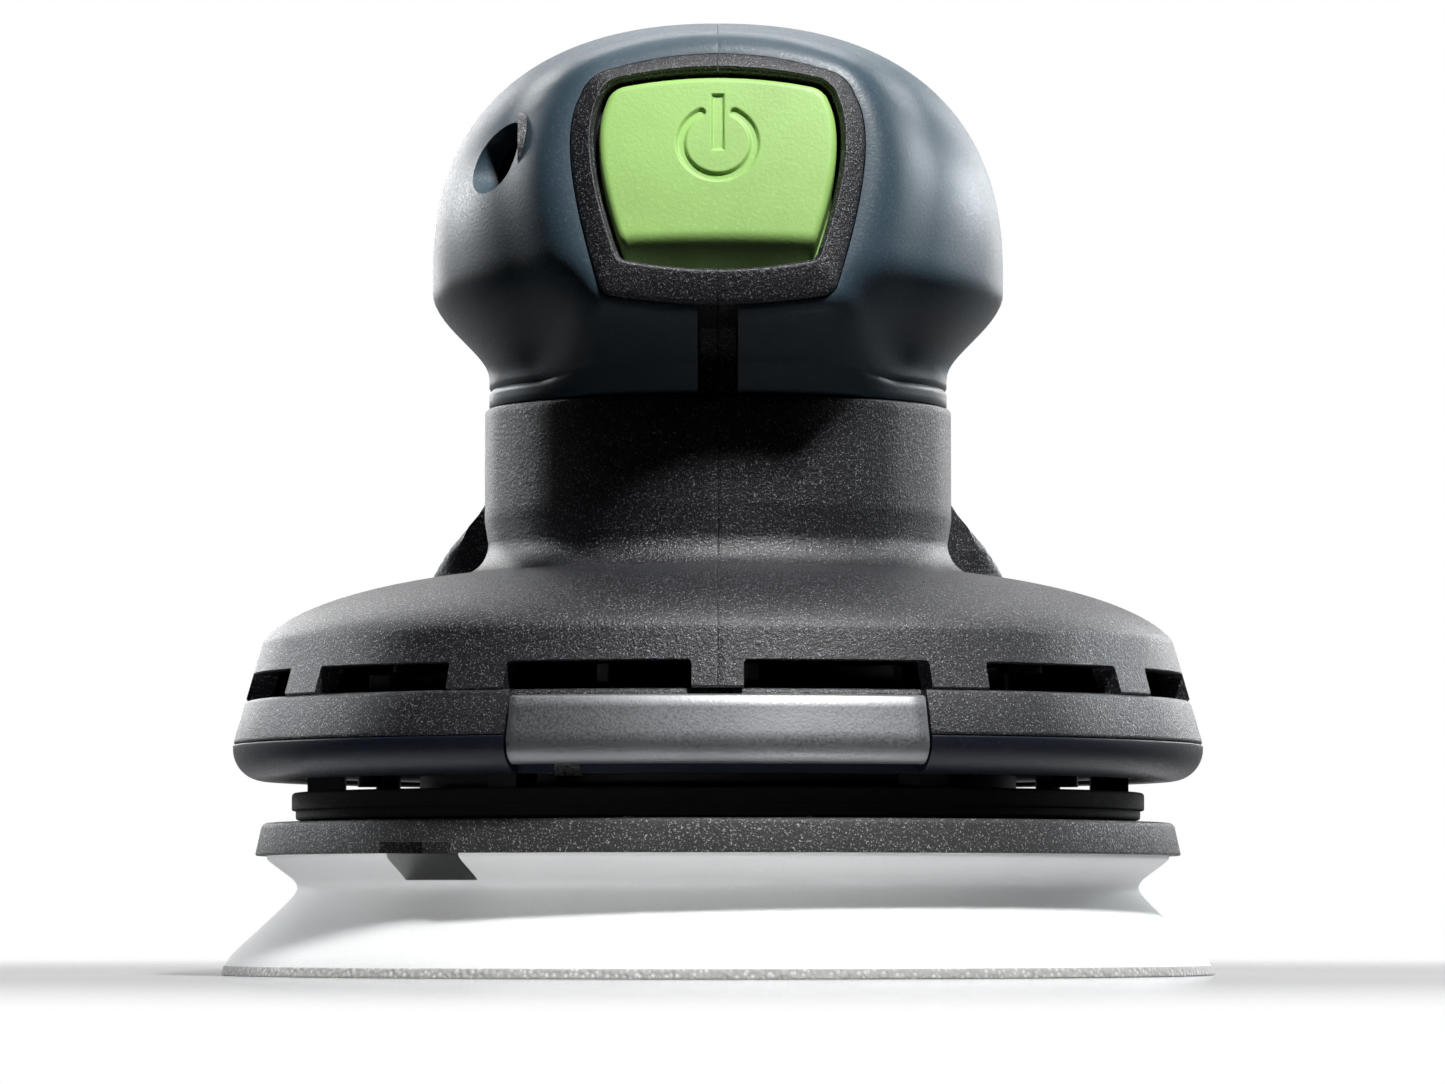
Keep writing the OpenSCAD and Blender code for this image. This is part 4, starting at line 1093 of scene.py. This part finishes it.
def make_floor():
    """A white floor that fades out round the object, and sooner for light that the camera can't see."""
    floor = piece("studio_floor", [(x, y, -0.02) for x, y in circle(700, 96)], [range(96)])
    look = Look(roughness=0.16)
    look.material.name = "studio_floor_look"
    look.colour(look.mixed(look.noise(60.0), (0.60, 0.60, 0.61), (0.65, 0.65, 0.66)))
    distance = add_node(look.tree, "VectorMath")
    distance.operation = "LENGTH"
    look.link(look.place, distance.inputs[0])
    fade = look.spread(distance.outputs["Value"], 0.10, 0.34)
    path = add_node(look.tree, "LightPath")
    unseen = look.maths("SUBTRACT", 1.0, path.outputs["Is Camera Ray"])
    far = look.spread(distance.outputs["Value"], 0.07, 0.11)
    fade = look.maths("MAXIMUM", fade, look.maths("MULTIPLY", unseen, far))
    clear = add_node(look.tree, "BsdfTransparent")
    mix = add_node(look.tree, "MixShader")
    output = look.tree.nodes["Material Output"]
    look.link(fade, mix.inputs["Fac"])
    look.link(look.shader.outputs["BSDF"], mix.inputs[1])
    look.link(clear.outputs["BSDF"], mix.inputs[2])
    look.link(mix.outputs["Shader"], output.inputs["Surface"])
    floor.data.materials.append(look.material)


def make_world():
    """A white studio that is bright behind the object and dim in front of it."""
    world = bpy.data.worlds.new("studio")
    bpy.context.scene.world = world
    world.use_nodes = True
    tree = world.node_tree
    back = tree.nodes["Background"]
    place = add_node(tree, "TexCoord")
    axes = add_node(tree, "SeparateXYZ")
    ramp = add_node(tree, "MapRange", From_Min=0.4, From_Max=0.95, To_Min=0.0, To_Max=0.45)
    ramp.interpolation_type = "SMOOTHSTEP"
    path = add_node(tree, "LightPath")
    strength = add_node(tree, "Math")
    strength.operation = "MAXIMUM"
    tree.links.new(place.outputs["Generated"], axes.inputs["Vector"])
    tree.links.new(axes.outputs["Y"], ramp.inputs["Value"])
    tree.links.new(ramp.outputs["Result"], strength.inputs[0])
    tree.links.new(path.outputs["Is Camera Ray"], strength.inputs[1])
    tree.links.new(strength.outputs["Value"], back.inputs["Strength"])
    back.inputs["Color"].default_value = (1.0, 1.0, 1.0, 1)


def softbox(name, place, aim_z, size, watts, colour=(1, 1, 1), spread=180):
    """A rectangular light aimed at the motor's axis at height aim_z. Lengths are in metres."""
    data = bpy.data.lights.new(name, "AREA")
    data.shape = "RECTANGLE"
    data.size, data.size_y = size
    data.energy = watts
    data.color = colour
    data.spread = math.radians(spread)
    obj = bpy.data.objects.new(name, data)
    bpy.context.scene.collection.objects.link(obj)
    obj.location = place
    aim = Vector((0, 0, aim_z)) - Vector(place)
    obj.rotation_euler = aim.to_track_quat("-Z", "Y").to_euler()
    obj.visible_camera = False
    return obj


def make_lights():
    cool = (0.93, 0.97, 1.0)
    softbox("key", (0.2125, -0.368, 0.786), 0.06, (0.1, 0.1), 10.0)
    softbox("edge_left", (-0.57, 0.56, 0.30), 0.09, (0.12, 0.12), 1.8, cool)
    softbox("edge_right", (0.57, 0.56, 0.30), 0.09, (0.12, 0.12), 1.6, cool)
    softbox("rim_left", (-0.62, 0.25, 0.30), 0.07, (0.3, 0.4), 0.1, cool)
    softbox("rim_right", (0.62, 0.25, 0.30), 0.07, (0.3, 0.4), 0.8, cool)
    softbox("back_left", (-0.30, 0.80, 0.30), 0.08, (0.12, 0.4), 1.3)
    softbox("back_right", (0.36, 0.80, 0.30), 0.08, (0.12, 0.4), 1.0)
    softbox("top", (0, 0.60, 0.60), 0.08, (0.5, 0.2), 1.45)
    softbox("crown", (0, 0.15, 0.80), 0.08, (0.4, 0.3), 0.85)
    fill = softbox("pad_fill", (-0.20, -0.30, 0.006), 0.006, (0.34, 0.008), 0.03, spread=24)
    fill.visible_glossy = False


def make_camera():
    data = bpy.data.cameras.new("camera")
    data.sensor_width = 36.0
    data.lens = 174.4
    data.clip_start, data.clip_end = 0.01, 20.0
    camera = bpy.data.objects.new("camera", data)
    bpy.context.scene.collection.objects.link(camera)
    camera.location = (0.00057, -0.884, 0.0078)
    camera.rotation_euler = (math.radians(90 + 3.03), 0, 0)
    bpy.context.scene.camera = camera


for make in (make_grips, make_bezel, make_button, make_housing, make_base, make_name_plate,
             make_brake_collar, make_pad, make_dial, make_spigot, make_socket, dress_cad_nodes,
             make_floor, make_world, make_lights, make_camera):
    make()
bpy.context.scene.view_settings.view_transform = "Standard"
